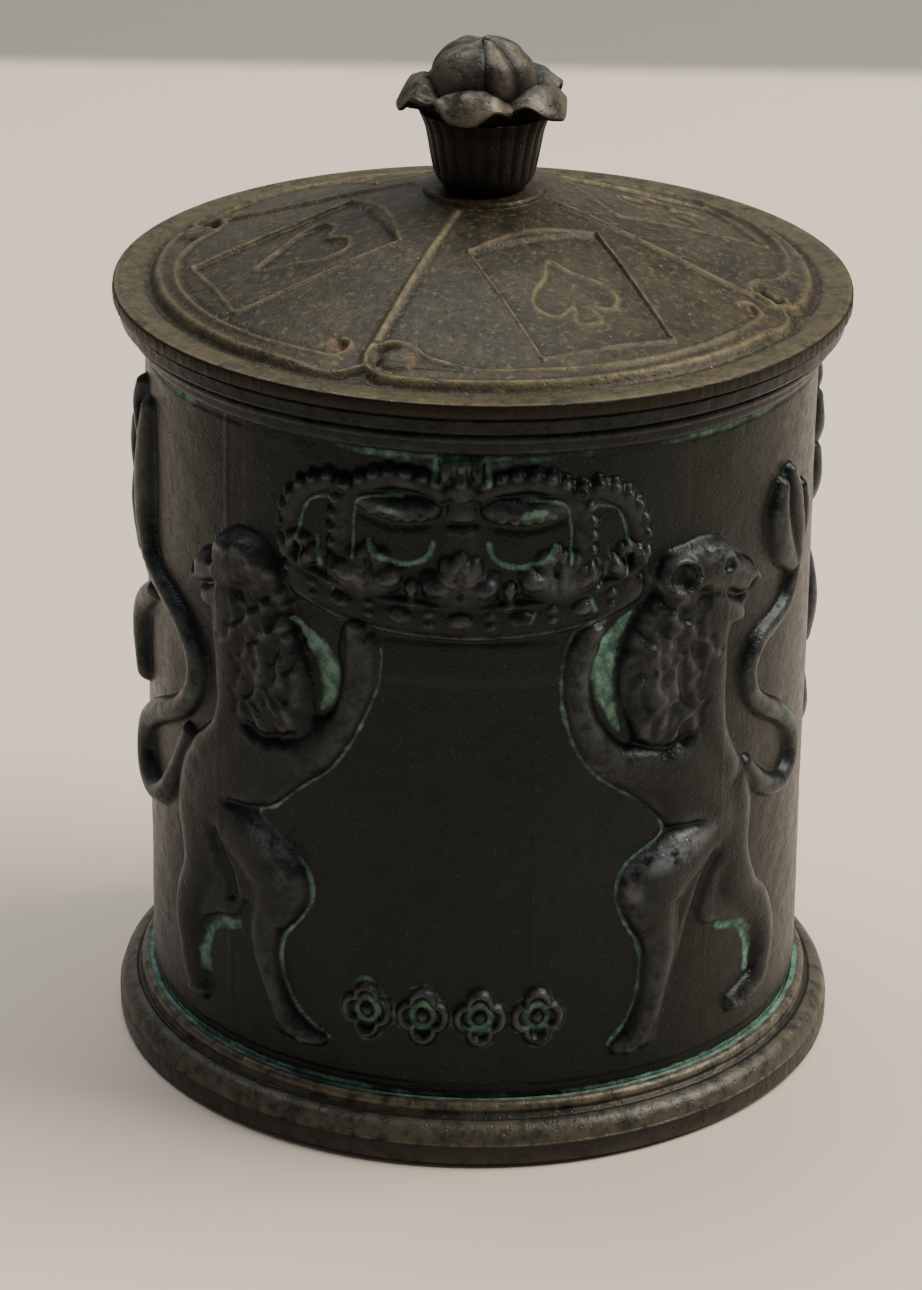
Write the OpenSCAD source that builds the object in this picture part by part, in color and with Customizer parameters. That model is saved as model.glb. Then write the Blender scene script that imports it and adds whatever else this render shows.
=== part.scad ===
// Round cast-bronze inkwell with a lift-off lid, a hanging ink pot and a dipping funnel.
// The origin is the centre of the underside, on the surface that the inkwell stands on, and +Z is up.
// The front of the case faces -Y. Azimuths count from -Y towards +X, in degrees.

/* [Case] */
// Outer radius of the cast wall
wall_r = 36.5; // [35.5:0.25:36.75]
// Thickness of the cast wall below the ledge that carries the pot
wall_t = 3; // [2.75:0.25:3.5]
// Height of the case, from the table to the top of the rim collar
case_h = 85.4; // [85:0.2:87]
// Radius of the turned foot
foot_r = 40.6; // [40.4:0.2:41.4]
// Height of the felt pad that stands out below the foot
felt_proud = 0.4; // [0.3:0.1:0.6]
// Height of the raised lions and crown above the wall
relief_h = 1.9; // [1.4:0.1:2.2]

/* [Lid] */
// Radius of the lid's edge
lid_r = 40; // [39.6:0.2:40.4]
// Thickness of the lid's flat rim
lid_edge = 1.6; // [1.5:0.1:1.9]
// Rise of the shallow dome above the flat rim
dome_h = 9.7; // [9:0.1:10]
// Thickness of the dome
lid_t = 2.4; // [2.2:0.1:2.6]

/* [Knob] */
// Height of the knob above the lid's boss
knob_h = 16.5; // [16:0.25:18]
// Reach of the curled petals from the knob's axis
petal_reach = 9.4; // [8.8:0.2:9.8]
// Number of flutes round the knob's cup
flutes = 24; // [16:1:28]

/* [Ink pot] */
// Outer radius of the ink pot below its flange
pot_r = 26; // [25:0.5:28]
// Depth of the ink pot below its flange
pot_depth = 48; // [44:1:56]
// Wall thickness of the ink pot
pot_t = 3; // [2.5:0.25:3]
// Radius of the hole that the pen dips through
dip_r = 5; // [4:0.5:6]

/* [Hidden] */
$fn = 96;

// Heights
foot_seat = 6;
wall_top = case_h - 2;
sleeve_z = case_h - 4.8;
ledge_z = case_h - 10.9;
gasket_t = 0.8;
flange_t = 3;
seal_proud = 0.2;
seal_t = 1;
lid_z = case_h + seal_proud;
rim_z = lid_z + lid_edge;
boss_r = 6.6;
boss_h = 0.6;
dome_r = 36;
dome_bend = 1.15;
boss_z = rim_z + dome_h + boss_h;

// Radii of the turned fits
bore_r = wall_r - wall_t;
rebate_r = wall_r - 1.75;
ring_r = rebate_r - 0.25;
ring_t = 1.5;
seal_r = rebate_r + 1.55;
flange_r = rebate_r - 0.2;
spigot_gap = 0.05;

// Pot and funnel
pot_top = ledge_z + gasket_t + flange_t;
pot_floor = ledge_z + gasket_t - pot_depth;
mouth_r = pot_r - pot_t;
cup_seat_r = pot_r - 0.2;
cup_seat_t = 1.5;
funnel_t = 1.7;
funnel_depth = 20;
funnel_r = mouth_r - 0.6;

// Stud, washer and nut under the lid
stud_r = 2;
stud_hole_r = 2.05;
stud_reach = 5;
washer_r = 5;
washer_t = 0.8;
nut_flats = 7;
nut_t = 3.2;
boss_under = rim_z + dome_h - lid_t;

// Screws that hold the foot to the wall
screw_count = 4;
screw_pcd_r = 35;
screw_shank_r = 0.8;
screw_head_r = 1.5;
screw_head_h = 0.9;
screw_len = 8;
felt_recess = 0.8;

bronze = [0.16, 0.15, 0.12];
worn_bronze = [0.30, 0.27, 0.18];

// Points on an arc round (cx, cz), from angle a0 to a1
function arc(cx, cz, r, a0, a1, n = 8) =
    [for (i = [0:n]) let(a = a0 + (a1 - a0) * i / n) [cx + r * cos(a), cz + r * sin(a)]];

// Catmull-Rom curve through p; closed when loop is true
function wrap(i, n) = (i % n + n) % n;
function knot(p, i, loop) = loop ? p[wrap(i, len(p))] : p[max(0, min(len(p) - 1, i))];
function blend4(a, b, c, d, t) =
    0.5 * (2 * b + (c - a) * t + (2 * a - 5 * b + 4 * c - d) * t * t
        + (3 * b - a - 3 * c + d) * t * t * t);
function spline(p, steps = 3, loop = true) =
    [for (i = [0:len(p) - (loop ? 1 : 2)], s = [0:steps - 1])
        blend4(knot(p, i - 1, loop), knot(p, i, loop), knot(p, i + 1, loop),
            knot(p, i + 2, loop), s / steps)];

// Outline of a strip of varying width w(0..1) along the open curve c
function side(c, i) =
    let(a = c[max(0, i - 1)], b = c[min(len(c) - 1, i + 1)], d = b - a)
    [-d[1], d[0]] / norm(d);
function strip(c, w0, w1) =
    let(n = len(c) - 1)
    concat(
        [for (i = [0:n]) c[i] + side(c, i) * (w0 + (w1 - w0) * i / n) / 2],
        [for (i = [n:-1:0]) c[i] - side(c, i) * (w0 + (w1 - w0) * i / n) / 2]);

function dome_z(r) =
    rim_z + dome_h * (1 - pow(max(0, (r - boss_r) / (dome_r - boss_r)), dome_bend));

// ---------------------------------------------------------------- relief on the wall

// A flat outline, drawn with x along the wall and y up, raised to radius r at azimuth az
module on_wall(az, r) {
    intersection() {
        rotate([0, 0, az])
            translate([0, -wall_r + 6, 0])
                rotate([90, 0, 0])
                    linear_extrude(12) children();
        difference() {
            cylinder(r = r, h = case_h);
            translate([0, 0, -1]) cylinder(r = wall_r, h = case_h + 2);
        }
    }
}

function azimuth(u) = u / 36.5 * 180 / PI;

// Outline points of the right-hand lion, as (distance round the wall, height)
lion_u = 27;
// How much further out than the right lion the left lion of a pair stands
left_step = 2.8;
lion_outline = [
    [20, 68], [22.5, 68.7], [25, 68.9], [27.6, 67.8], [29.8, 65.6], [32.4, 64.2], [33.8, 62.4],
    [32.8, 60.8], [31.8, 58.8], [29.8, 57.4], [28.6, 54], [28.2, 50], [28.8, 46.5], [30.8, 43.4],
    [33.2, 40.4], [34.4, 36], [33.9, 31], [35, 27], [38, 23.8], [39.8, 19.5], [39.6, 14.5],
    [38.2, 11.4], [34, 10.4], [31.2, 11.6], [32.6, 13.4], [35.4, 14.2], [35.6, 17], [33.4, 20.4],
    [30, 22.2], [27, 22.8], [24.8, 24.6], [23.4, 21], [21.8, 17], [21, 13.4], [20.4, 10.8],
    [16, 10.4], [15.2, 12.2], [17.4, 14.2], [18.4, 19], [18.2, 23], [16.2, 26.6], [15.4, 30],
    [17, 33.2], [20.8, 35.6], [20.2, 37.8], [17.2, 40.6], [13.4, 43.4], [10.8, 46.6], [9.2, 50.8],
    [8.8, 55], [9.8, 59], [11.6, 60.6], [13.4, 59.8], [12.4, 54.4], [13.6, 50], [15.2, 48],
    [15, 52], [15, 56], [16.4, 60.6], [18.2, 64.2], [18.8, 66.4],
];
lion_torso = [[19, 44], [21, 50], [25.5, 52], [28, 48.5], [29, 44], [32, 40], [33, 35], [30, 31], [24, 35.6], [21.4, 39]];
lion_thigh = [[17, 31.4], [19, 34], [24, 35.4], [27.5, 32.5], [26, 27.5], [23, 24.6], [19.8, 24], [17.2, 27.6]];
lion_mane = [[16.4, 57], [18.6, 63], [22, 63.4], [25.6, 61.5], [27.2, 56], [26.4, 51], [22, 46.5], [17.4, 48], [16, 52]];
lion_head = [[19.4, 66.4], [22.4, 68.2], [26.4, 67.8], [29.6, 64.8], [31.6, 62], [28.2, 60.4], [24, 61.6], [20.6, 63]];
lion_tail = [
    [38, 34], [41, 35.2], [43.4, 37.4], [42.4, 41.2], [39, 44], [35.2, 46.4], [32.8, 49.6], [33.6, 53.4],
    [37, 55.4], [40.6, 57], [42.2, 60.4], [41.6, 63],
];
lion_tuft = [[38, 62], [36.4, 65.6], [37, 69.6], [39.4, 72], [42, 69.8], [43.4, 66], [42.2, 62.4]];

function shifted(p) = [for (q = p) [q[0] - lion_u, q[1]]];

// One lion; the group's middle is at azimuth az, and hand is 1 on its right and -1 on its left
module lion(az, hand, step = 0) {
    place = az + hand * azimuth(lion_u + step);
    color(bronze) {
        on_wall(place, wall_r + relief_h * 0.5)
            scale([hand, 1]) polygon(spline(shifted(lion_outline), 2));
        on_wall(place, wall_r + relief_h * 0.8)
            scale([hand, 1]) {
                polygon(spline(shifted(lion_torso)));
                polygon(spline(shifted(lion_mane)));
            }
        on_wall(place, wall_r + relief_h)
            scale([hand, 1]) {
                polygon(spline(shifted(lion_thigh)));
                polygon(spline(shifted(lion_head)));
            }
        on_wall(place, wall_r + relief_h * 0.6)
            scale([hand, 1]) {
                polygon(strip(spline(shifted(lion_tail), 2, false), 2.2, 1.8));
                polygon(spline(shifted(lion_tuft)));
            }
    }
}

// Crown: a jewelled band, two pairs of pearled arches, three leaves and a cross on an orb
crown_u = -1.4;
crown_z = 62;
arch_outer = [[-17.6, 3.4], [-18.6, 8.4], [-17.4, 12.4], [-13.6, 14.4], [-10.6, 14.2]];
arch_inner = [[-12.6, 5.6], [-12.6, 10.4], [-11.6, 13.8], [-7.4, 15.4], [-2, 14.8]];
arch_back = [[-9.6, 12.8], [-6, 12.2], [-2.4, 12.4]];
band_curve = [[-16.8, 2.8], [-11, 0.9], [0, 0.2], [11, 0.9], [16.8, 2.8]];
pearl_r = 0.62;

module pearls(c, gap, drop) {
    for (i = [0:gap:len(c) - 1])
        translate(c[i] + side(c, i) * drop) circle(r = pearl_r, $fn = 16);
}

module leaf(s) {
    circle(r = 1.5 * s, $fn = 24);
    for (a = [-55, 55, 180])
        rotate(a) translate([0, 1.7 * s]) circle(r = 1.2 * s, $fn = 24);
    translate([-0.6 * s, -3.2 * s]) square([1.2 * s, 3 * s]);
}

module crown_half() {
    outer = spline(arch_outer, 3, false);
    inner = spline(arch_inner, 3, false);
    polygon(strip(outer, 1.5, 1.5));
    polygon(strip(inner, 1.6, 1.6));
    polygon(strip(spline(arch_back, 3, false), 1.2, 1.6));
}

module crown(az) {
    place = az + azimuth(crown_u);
    color(bronze) {
        on_wall(place, wall_r + relief_h * 0.5)
            translate([0, crown_z]) {
                crown_half();
                mirror([1, 0]) crown_half();
                polygon(strip(spline(band_curve, 4, false), 3.6, 3.6));
                translate([0, 9.4]) square([3.6, 8], center = true);
            }
        on_wall(place, wall_r + relief_h * 0.75)
            translate([0, crown_z]) {
                for (s = [-1, 1])
                    scale([s, 1]) {
                        pearls(spline(arch_outer, 3, false), 2, 1);
                        pearls(spline(arch_inner, 3, false), 2, 1);
                        translate([-9.6, 5.4]) leaf(0.9);
                        translate([-17, 5]) leaf(0.6);
                        translate([-5, 4.4]) circle(r = 0.9, $fn = 24);
                    }
                translate([0, 5.2]) leaf(1.1);
                for (x = [-13.5:3:13.5])
                    translate([x, 0.4 + abs(x) * 0.13]) circle(r = 0.8, $fn = 24);
            }
        on_wall(place, wall_r + relief_h * 0.9)
            translate([0, crown_z + 15]) {
                circle(r = 1.6, $fn = 24);
                translate([-0.7, 0]) square([1.4, 3.5]);
                translate([-1.9, 1.6]) square([3.8, 1.2]);
            }
    }
}

// ---------------------------------------------------------------- case

module wall_casting() {
    screw_z = foot_seat - 0.5;
    color(bronze)
        difference() {
            translate([0, 0, foot_seat]) cylinder(r = wall_r, h = wall_top - foot_seat);
            translate([0, 0, foot_seat - 1]) cylinder(r = bore_r, h = wall_top);
            translate([0, 0, ledge_z]) cylinder(r = rebate_r, h = wall_top);
            ring_of(screw_count, screw_pcd_r)
                translate([0, 0, screw_z]) cylinder(r = screw_shank_r, h = screw_len - 3, $fn = 24);
        }
}

module ring_of(count, r) {
    for (i = [0:count - 1])
        rotate([0, 0, 360 / count * (i + 0.5)]) translate([r, 0, 0]) children();
}

module rim_collar() {
    color(bronze)
        rotate_extrude()
            polygon(concat(
                [[rebate_r, wall_top], [wall_r, wall_top], [wall_r, sleeve_z]],
                arc(wall_r, sleeve_z + 0.9, 0.9, -80, -20, 4),
                [[wall_r + 0.9, sleeve_z + 1.5]],
                arc(wall_r + 1.2, sleeve_z + 2.1, 0.6, -90, 80, 5),
                [[wall_r + 1.6, sleeve_z + 2.9], [wall_r + 2.6, sleeve_z + 3.1],
                    [wall_r + 2.8, sleeve_z + 3.3], [wall_r + 2.8, case_h], [seal_r, case_h],
                    [seal_r, case_h + seal_proud - seal_t], [rebate_r, case_h + seal_proud - seal_t]]
            ));
}

module foot() {
    spigot_r = bore_r - spigot_gap;
    color(worn_bronze)
        difference() {
            rotate_extrude()
                polygon(concat(
                    [[0, felt_proud], [foot_r, felt_proud], [foot_r, 2.8]],
                    arc(foot_r - 2.1, 2.9, 1.9, 0, 88, 8),
                    [[foot_r - 2.4, 4.6]],
                    arc(wall_r + 0.7, 5.5, 0.65, -50, 90, 7),
                    [[wall_r + 0.5, foot_seat], [spigot_r, foot_seat], [spigot_r, foot_seat + 2],
                        [spigot_r - 1.2, foot_seat + 2], [spigot_r - 2.2, 4], [0, 4]]
                ));
            translate([0, 0, -1]) cylinder(r = 38, h = felt_proud + felt_recess + 1);
            ring_of(screw_count, screw_pcd_r) foot_screw(0.05);
        }
}

// One countersunk screw, grown all round by gap where it cuts its own hole
module foot_screw(gap) {
    under = felt_proud + felt_recess;
    translate([0, 0, under])
        cylinder(r1 = screw_head_r + gap, r2 = screw_shank_r + gap, h = screw_head_h, $fn = 24);
    translate([0, 0, under]) cylinder(r = screw_shank_r + gap, h = screw_len, $fn = 24);
}

module foot_screws() {
    slot_w = 0.4;
    under = felt_proud + felt_recess;
    color("silver")
        ring_of(screw_count, screw_pcd_r)
            difference() {
                foot_screw(0);
                translate([-2, -slot_w / 2, under - 0.5]) cube([4, slot_w, 0.9]);
            }
}

module felt_pad() {
    color("darkgreen") cylinder(r = 37.6, h = felt_proud + felt_recess);
}

module front_crown() {
    crown(0);
}

module front_lion_left() {
    lion(0, -1, left_step);
}

module front_lion_right() {
    lion(0, 1);
}

module back_crown() {
    crown(180);
}

module back_lion_left() {
    lion(180, -1, left_step);
}

module back_lion_right() {
    lion(180, 1);
}

// A row of four-petalled rosettes low on the front panel
module front_rosettes() {
    pitch = 6.1;
    row_z = 16.2;
    row_u = -2.2;
    color(bronze)
        on_wall(azimuth(row_u), wall_r + 0.9)
            for (i = [-1.5:1:1.5])
                translate([i * pitch, row_z]) {
                    circle(r = 1.1, $fn = 24);
                    for (a = [0:90:270])
                        rotate(a) translate([0, 1.7]) circle(r = 1, $fn = 24);
                }
}

// ---------------------------------------------------------------- inside

module pot_gasket() {
    color("peru")
        translate([0, 0, ledge_z])
            difference() {
                cylinder(r = rebate_r - 0.05, h = gasket_t);
                translate([0, 0, -1]) cylinder(r = bore_r + 0.05, h = gasket_t + 2);
            }
}

module ink_pot() {
    foot_round = 4;
    color("ivory")
        rotate_extrude()
            polygon(concat(
                [[0, pot_floor]],
                arc(pot_r - foot_round, pot_floor + foot_round, foot_round, -90, 0, 6),
                [[pot_r, ledge_z + gasket_t - 2], [pot_r + 1, ledge_z + gasket_t],
                    [flange_r, ledge_z + gasket_t], [flange_r, pot_top - 0.6], [flange_r - 0.6, pot_top],
                    [cup_seat_r + 0.2, pot_top], [cup_seat_r + 0.2, pot_top - cup_seat_t],
                    [mouth_r, pot_top - cup_seat_t]],
                arc(mouth_r - foot_round, pot_floor + pot_t + foot_round, foot_round, 0, -90, 6),
                [[0, pot_floor + pot_t]]
            ));
}

module dip_funnel() {
    seat = pot_top - cup_seat_t;
    tip = pot_top - funnel_depth;
    color("ivory")
        rotate_extrude()
            polygon([
                [cup_seat_r - 0.2, seat], [cup_seat_r - 0.2, pot_top], [funnel_r - 1.8, pot_top],
                [funnel_r - 3.2, pot_top - 0.6], [dip_r + 5, pot_top - 7], [dip_r + 1, tip + 4],
                [dip_r, tip], [dip_r + funnel_t, tip], [dip_r + funnel_t + 0.9, tip + 3.6],
                [dip_r + funnel_t + 5.2, pot_top - 8.4], [funnel_r, seat - 0.8], [funnel_r, seat]
            ]);
}

module lid_seal() {
    color("saddlebrown")
        translate([0, 0, case_h + seal_proud - seal_t])
            difference() {
                cylinder(r = seal_r - 0.05, h = seal_t);
                translate([0, 0, -1]) cylinder(r = rebate_r + 0.05, h = seal_t + 2);
            }
}

// ---------------------------------------------------------------- lid

module lid_locating_ring() {
    ring_depth = 4;
    color(worn_bronze)
        translate([0, 0, lid_z - ring_depth + 0.2])
            difference() {
                cylinder(r = ring_r, h = ring_depth + 0.6);
                translate([0, 0, -1]) cylinder(r = ring_r - ring_t, h = ring_depth + 3);
            }
}

// The dome's outer surface, raised by up, down to the bottom of the lid
module dome(up) {
    steps = 10;
    rotate_extrude()
        polygon(concat(
            [[0, lid_z], [dome_r, lid_z], [dome_r, rim_z + up]],
            [for (i = [0:steps])
                let(r = dome_r + (boss_r - dome_r) * (i + 0.001) / (steps + 0.001)) [r, dome_z(r) + up]],
            [[0, dome_z(boss_r) + up]]
        ));
}

module lid() {
    steps = 8;
    under_r = ring_r - ring_t - 0.1;
    color(worn_bronze)
        difference() {
            union() {
                dome(0);
                translate([0, 0, lid_z])
                    difference() {
                        cylinder(r = lid_r, h = lid_edge);
                        translate([0, 0, -1]) cylinder(r = dome_r - 1, h = lid_edge + 2);
                    }
                rotate_extrude()
                    translate([dome_r - 0.7, rim_z]) circle(r = 0.5, $fn = 16);
                translate([0, 0, boss_z - boss_h - 0.5]) cylinder(r = boss_r, h = boss_h + 0.5);
            }
            rotate_extrude()
                polygon(concat(
                    [[0, lid_z - 1], [under_r, lid_z - 1], [under_r, lid_z]],
                    [for (i = [0:steps])
                        let(r = under_r - 0.4 + (boss_r - under_r + 0.4) * i / steps) [r, dome_z(r) - lid_t]],
                    [[0, boss_under]]
                ));
            translate([0, 0, lid_z - 1])
                difference() {
                    cylinder(r = ring_r, h = 1.8);
                    translate([0, 0, -1]) cylinder(r = ring_r - ring_t, h = 4);
                }
            translate([0, 0, lid_z]) cylinder(r = stud_hole_r, h = dome_h + 10);
        }
}

// A flat pattern, seen from above with -Y at the bottom, raised by up on the dome
module on_dome(up) {
    difference() {
        intersection() {
            translate([0, 0, lid_z]) linear_extrude(dome_h + 4) children();
            dome(up);
        }
        dome(0);
    }
}

sector_start = -18;
card_in = 11.5;
card_out = 30;
card_half = 7.4;
line_w = 0.7;

module lid_ribs() {
    color(worn_bronze)
        on_dome(0.4)
            for (i = [0:3])
                rotate(sector_start + 90 * i)
                    translate([-line_w / 2, -30]) square([line_w, 30 - boss_r - 0.6]);
}

module heart() {
    polygon(spline([[0, 4.6], [2.4, 5.6], [4.4, 3.8], [3.6, 0.6], [0, -4.6], [-3.6, 0.6], [-4.4, 3.8], [-2.4, 5.6]]));
}

module spade() {
    polygon(spline([[0, 5.4], [2, 2.4], [4.4, -0.8], [3.6, -3.4], [1, -2.6], [-1, -2.6], [-3.6, -3.4], [-4.4, -0.8], [-2, 2.4]]));
    polygon([[-0.4, -2.8], [0.4, -2.8], [1.4, -5.4], [-1.4, -5.4]]);
}

module club() {
    for (a = [0, 120, 240])
        rotate(a) translate([0, 2.3]) circle(r = 2.1, $fn = 24);
    polygon([[-0.5, -1], [0.5, -1], [1.4, -5.4], [-1.4, -5.4]]);
}

module diamond() {
    polygon([[0, 5.4], [3.8, 0], [0, -5.4], [-3.8, 0]]);
}

// One playing card on the dome: a raised frame with a raised suit sign in it
module card(az, flip) {
    mid = (card_in + card_out) / 2;
    depth = card_out - card_in;
    rotate(az)
        translate([0, -mid]) {
            difference() {
                square([2 * card_half, depth], center = true);
                square([2 * card_half - 2 * line_w, depth - 2 * line_w], center = true);
            }
            rotate(flip) children();
        }
}

module lid_cards() {
    color(worn_bronze)
        on_dome(0.35) {
            card(sector_start + 45, 0) spade();
            card(sector_start + 135, 0) club();
            card(sector_start + 225, 0) diamond();
            card(sector_start + 315, 0) heart();
        }
}

// Border lines near the rim that end in round scroll heads beside each rib
module lid_scrolls() {
    line_r = 33.6;
    head_r = 1.7;
    gap = 6;
    steps = 12;
    color(worn_bronze)
        on_dome(0.45)
            for (i = [0:3])
                rotate(sector_start + 90 * i - 90) {
                    polygon(strip(arc(0, 0, line_r, gap, 90 - gap, steps), 0.8, 0.8));
                    for (end = [gap, 90 - gap])
                        rotate(end) translate([line_r - 1.2, 0]) circle(r = head_r, $fn = 24);
                }
}

// ---------------------------------------------------------------- knob

cup_h = 8.6;

module knob_cup() {
    flute_r = 0.5;
    flute_tilt = 5;
    color(bronze)
        difference() {
            rotate_extrude()
                polygon([
                    [0, boss_z], [4.2, boss_z], [4.7, boss_z + 0.5], [5.2, boss_z + 1.2],
                    [5.55, boss_z + 2], [5.9, boss_z + 3.6], [6.2, boss_z + 5.2],
                    [6.5, boss_z + 6.8], [7, boss_z + cup_h], [0, boss_z + cup_h]
                ]);
            translate([0, 0, boss_z - 1]) cylinder(r = stud_r, h = stud_reach + 1);
            for (i = [0:flutes - 1])
                rotate([0, 0, 360 / flutes * i])
                    translate([5.4 + flute_r, 0, boss_z + 1.4])
                        rotate([0, flute_tilt, 0]) cylinder(r = flute_r, h = 9, $fn = 16);
        }
}

// Ring of five petals that rise beside the bud and curl over, parted by five round notches
petal_turn = -13;
petal_low = boss_z + cup_h;
notch_r = 2.4;
notch_out = 9.8;

module knob_petals() {
    color(bronze)
        difference() {
            rotate_extrude()
                polygon([
                    [5, petal_low], [5.4, petal_low + 2.2], [6.4, petal_low + 3.9],
                    [7.6, petal_low + 4.1], [petal_reach - 0.7, petal_low + 3.2],
                    [petal_reach, petal_low + 1.8], [petal_reach - 0.4, petal_low + 1.6],
                    [petal_reach - 1.3, petal_low + 2.3], [7.3, petal_low + 2.5],
                    [6.6, petal_low + 1.4], [6.4, petal_low]
                ]);
            for (i = [0:4])
                rotate([0, 0, petal_turn - 54 + 72 * i])
                    translate([notch_out, 0, petal_low + 0.6]) cylinder(r = notch_r, h = 6, $fn = 32);
        }
}

module knob_bud() {
    lobe_r = 3.7;
    lobe_out = 2.2;
    lobe_z = boss_z + knob_h - lobe_r;
    color(bronze)
        difference() {
            union() {
                for (i = [0:4])
                    rotate([0, 0, 72 * i]) translate([lobe_out, 0, lobe_z]) sphere(r = lobe_r, $fn = 32);
                translate([0, 0, boss_z + cup_h]) cylinder(r = 5, h = 4);
            }
            translate([0, 0, boss_z - 1.4]) cylinder(r = 12, h = cup_h + 1.4);
        }
}

module knob_stud() {
    low = boss_under - washer_t - nut_t - 1;
    color("silver")
        translate([0, 0, low]) cylinder(r = stud_r, h = boss_z + stud_reach - low);
}

module knob_washer() {
    color("silver")
        translate([0, 0, boss_under - washer_t])
            difference() {
                cylinder(r = washer_r, h = washer_t);
                translate([0, 0, -1]) cylinder(r = stud_r + 0.1, h = washer_t + 2);
            }
}

module knob_nut() {
    color("silver")
        translate([0, 0, boss_under - washer_t - nut_t])
            difference() {
                cylinder(r = nut_flats / sqrt(3), h = nut_t, $fn = 6);
                translate([0, 0, -1]) cylinder(r = stud_r, h = nut_t + 2);
            }
}

wall_casting();
rim_collar();
foot();
foot_screws();
felt_pad();
front_crown();
front_lion_left();
front_lion_right();
front_rosettes();
back_crown();
back_lion_left();
back_lion_right();
pot_gasket();
ink_pot();
dip_funnel();
lid_seal();
lid();
lid_locating_ring();
lid_ribs();
lid_cards();
lid_scrolls();
knob_cup();
knob_petals();
knob_bud();
knob_stud();
knob_washer();
knob_nut();
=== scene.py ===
"""Looks of the bronze inkwell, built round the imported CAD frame.

Lengths are in millimetres, and make_mesh turns them into metres; noise scales, bump heights, lamps, the
camera's clipping and the floor's shading are in metres. "u" is the distance round the wall from the middle
of the front (-Y), positive towards +X, and z is the height above the table."""
import math

import bpy
import numpy as np
from mathutils import Matrix, Vector


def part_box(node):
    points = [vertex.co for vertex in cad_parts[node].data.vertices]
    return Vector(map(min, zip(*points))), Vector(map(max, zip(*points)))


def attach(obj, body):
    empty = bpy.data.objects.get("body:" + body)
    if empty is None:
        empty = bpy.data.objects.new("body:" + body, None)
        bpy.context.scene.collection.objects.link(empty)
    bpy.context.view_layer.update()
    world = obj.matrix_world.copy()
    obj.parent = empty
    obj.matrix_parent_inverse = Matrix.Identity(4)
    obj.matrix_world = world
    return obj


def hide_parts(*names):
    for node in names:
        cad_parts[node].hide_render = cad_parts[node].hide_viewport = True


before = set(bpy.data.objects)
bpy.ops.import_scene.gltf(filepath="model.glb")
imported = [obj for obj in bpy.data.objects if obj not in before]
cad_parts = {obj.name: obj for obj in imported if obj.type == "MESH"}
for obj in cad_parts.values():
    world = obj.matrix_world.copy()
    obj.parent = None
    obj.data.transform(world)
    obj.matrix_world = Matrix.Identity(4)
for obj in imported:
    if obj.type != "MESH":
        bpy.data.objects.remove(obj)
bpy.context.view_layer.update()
MM = 0.001


def cad_mm(node):
    """Lowest and highest corner of a CAD node, in millimetres."""
    low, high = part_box(node)
    return np.array(low) / MM, np.array(high) / MM


# ------------------------------------------------------------------ sizes taken from the frame
WALL_LOW, WALL_HIGH = cad_mm("wall_casting")
COLLAR_LOW, COLLAR_HIGH = cad_mm("rim_collar")
FOOT_LOW, FOOT_HIGH = cad_mm("foot")
LID_LOW, LID_HIGH = cad_mm("lid")
CUP_LOW, _ = cad_mm("knob_cup")
BUD_LOW, BUD_HIGH = cad_mm("knob_bud")
POT_LOW, POT_HIGH = cad_mm("ink_pot")
FUNNEL_LOW, FUNNEL_HIGH = cad_mm("dip_funnel")
GASKET_LOW, _ = cad_mm("pot_gasket")

WALL_R = WALL_HIGH[0]
BORE_R = WALL_R - 3.0          # the wall's inside
REBATE_R = WALL_R - 1.75       # the wider bore above the ledge, where the pot's flange and the lid's ring sit
LEDGE_Z = GASKET_LOW[2]
WALL_Z0, WALL_Z1 = WALL_LOW[2], WALL_HIGH[2]
COLLAR_Z0, COLLAR_Z1 = COLLAR_LOW[2], COLLAR_HIGH[2]
COLLAR_R = COLLAR_HIGH[0]
FOOT_R = FOOT_HIGH[0]
FOOT_Z0 = FOOT_LOW[2]
LID_R = LID_HIGH[0]
LID_Z0 = LID_LOW[2]
RIM_Z = LID_Z0 + 1.6           # the dome starts above an upright edge
BOSS_R = 6.6                   # flat boss under the knob
BOSS_Z = LID_HIGH[2]
DOME_R = 36.0
DOME_H = BOSS_Z - 0.6 - RIM_Z


# ------------------------------------------------------------------ curves and fields
def unit(x):
    """Clipped to the range 0 to 1."""
    return np.clip(x, 0, 1)


def bell(distance, width):
    """1 at no distance, falling off smoothly over the width."""
    return np.exp(-((distance / width) ** 2))


def turned(du, dz, degrees):
    """Coordinates along and across a direction."""
    c, s = math.cos(math.radians(degrees)), math.sin(math.radians(degrees))
    return du * c + dz * s, dz * c - du * s


def angles(cols):
    """Angles of a turned grid's columns: from the back, round by -X, the front and +X."""
    return np.arange(cols) / cols * 2 * math.pi - math.pi


def spline(points, steps=6, loop=True):
    """Catmull-Rom curve through the points; every column is carried along."""
    p = np.array(points, float)
    n = len(p)
    spans = n if loop else n - 1
    out = []
    for i in range(spans):
        a, b, c, d = (p[k % n] if loop else p[min(max(k, 0), n - 1)] for k in (i - 1, i, i + 1, i + 2))
        t = (np.arange(steps) / steps)[:, None]
        out.append(0.5 * (2 * b + (c - a) * t + (2 * a - 5 * b + 4 * c - d) * t ** 2
                          + (3 * b - a - 3 * c + d) * t ** 3))
    if not loop:
        out.append(p[-1:])
    return np.concatenate(out)


def mirrored(points):
    """The same curve on the other side of the group's middle."""
    p = np.array(points, float)
    p[:, 0] *= -1
    return p


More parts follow.
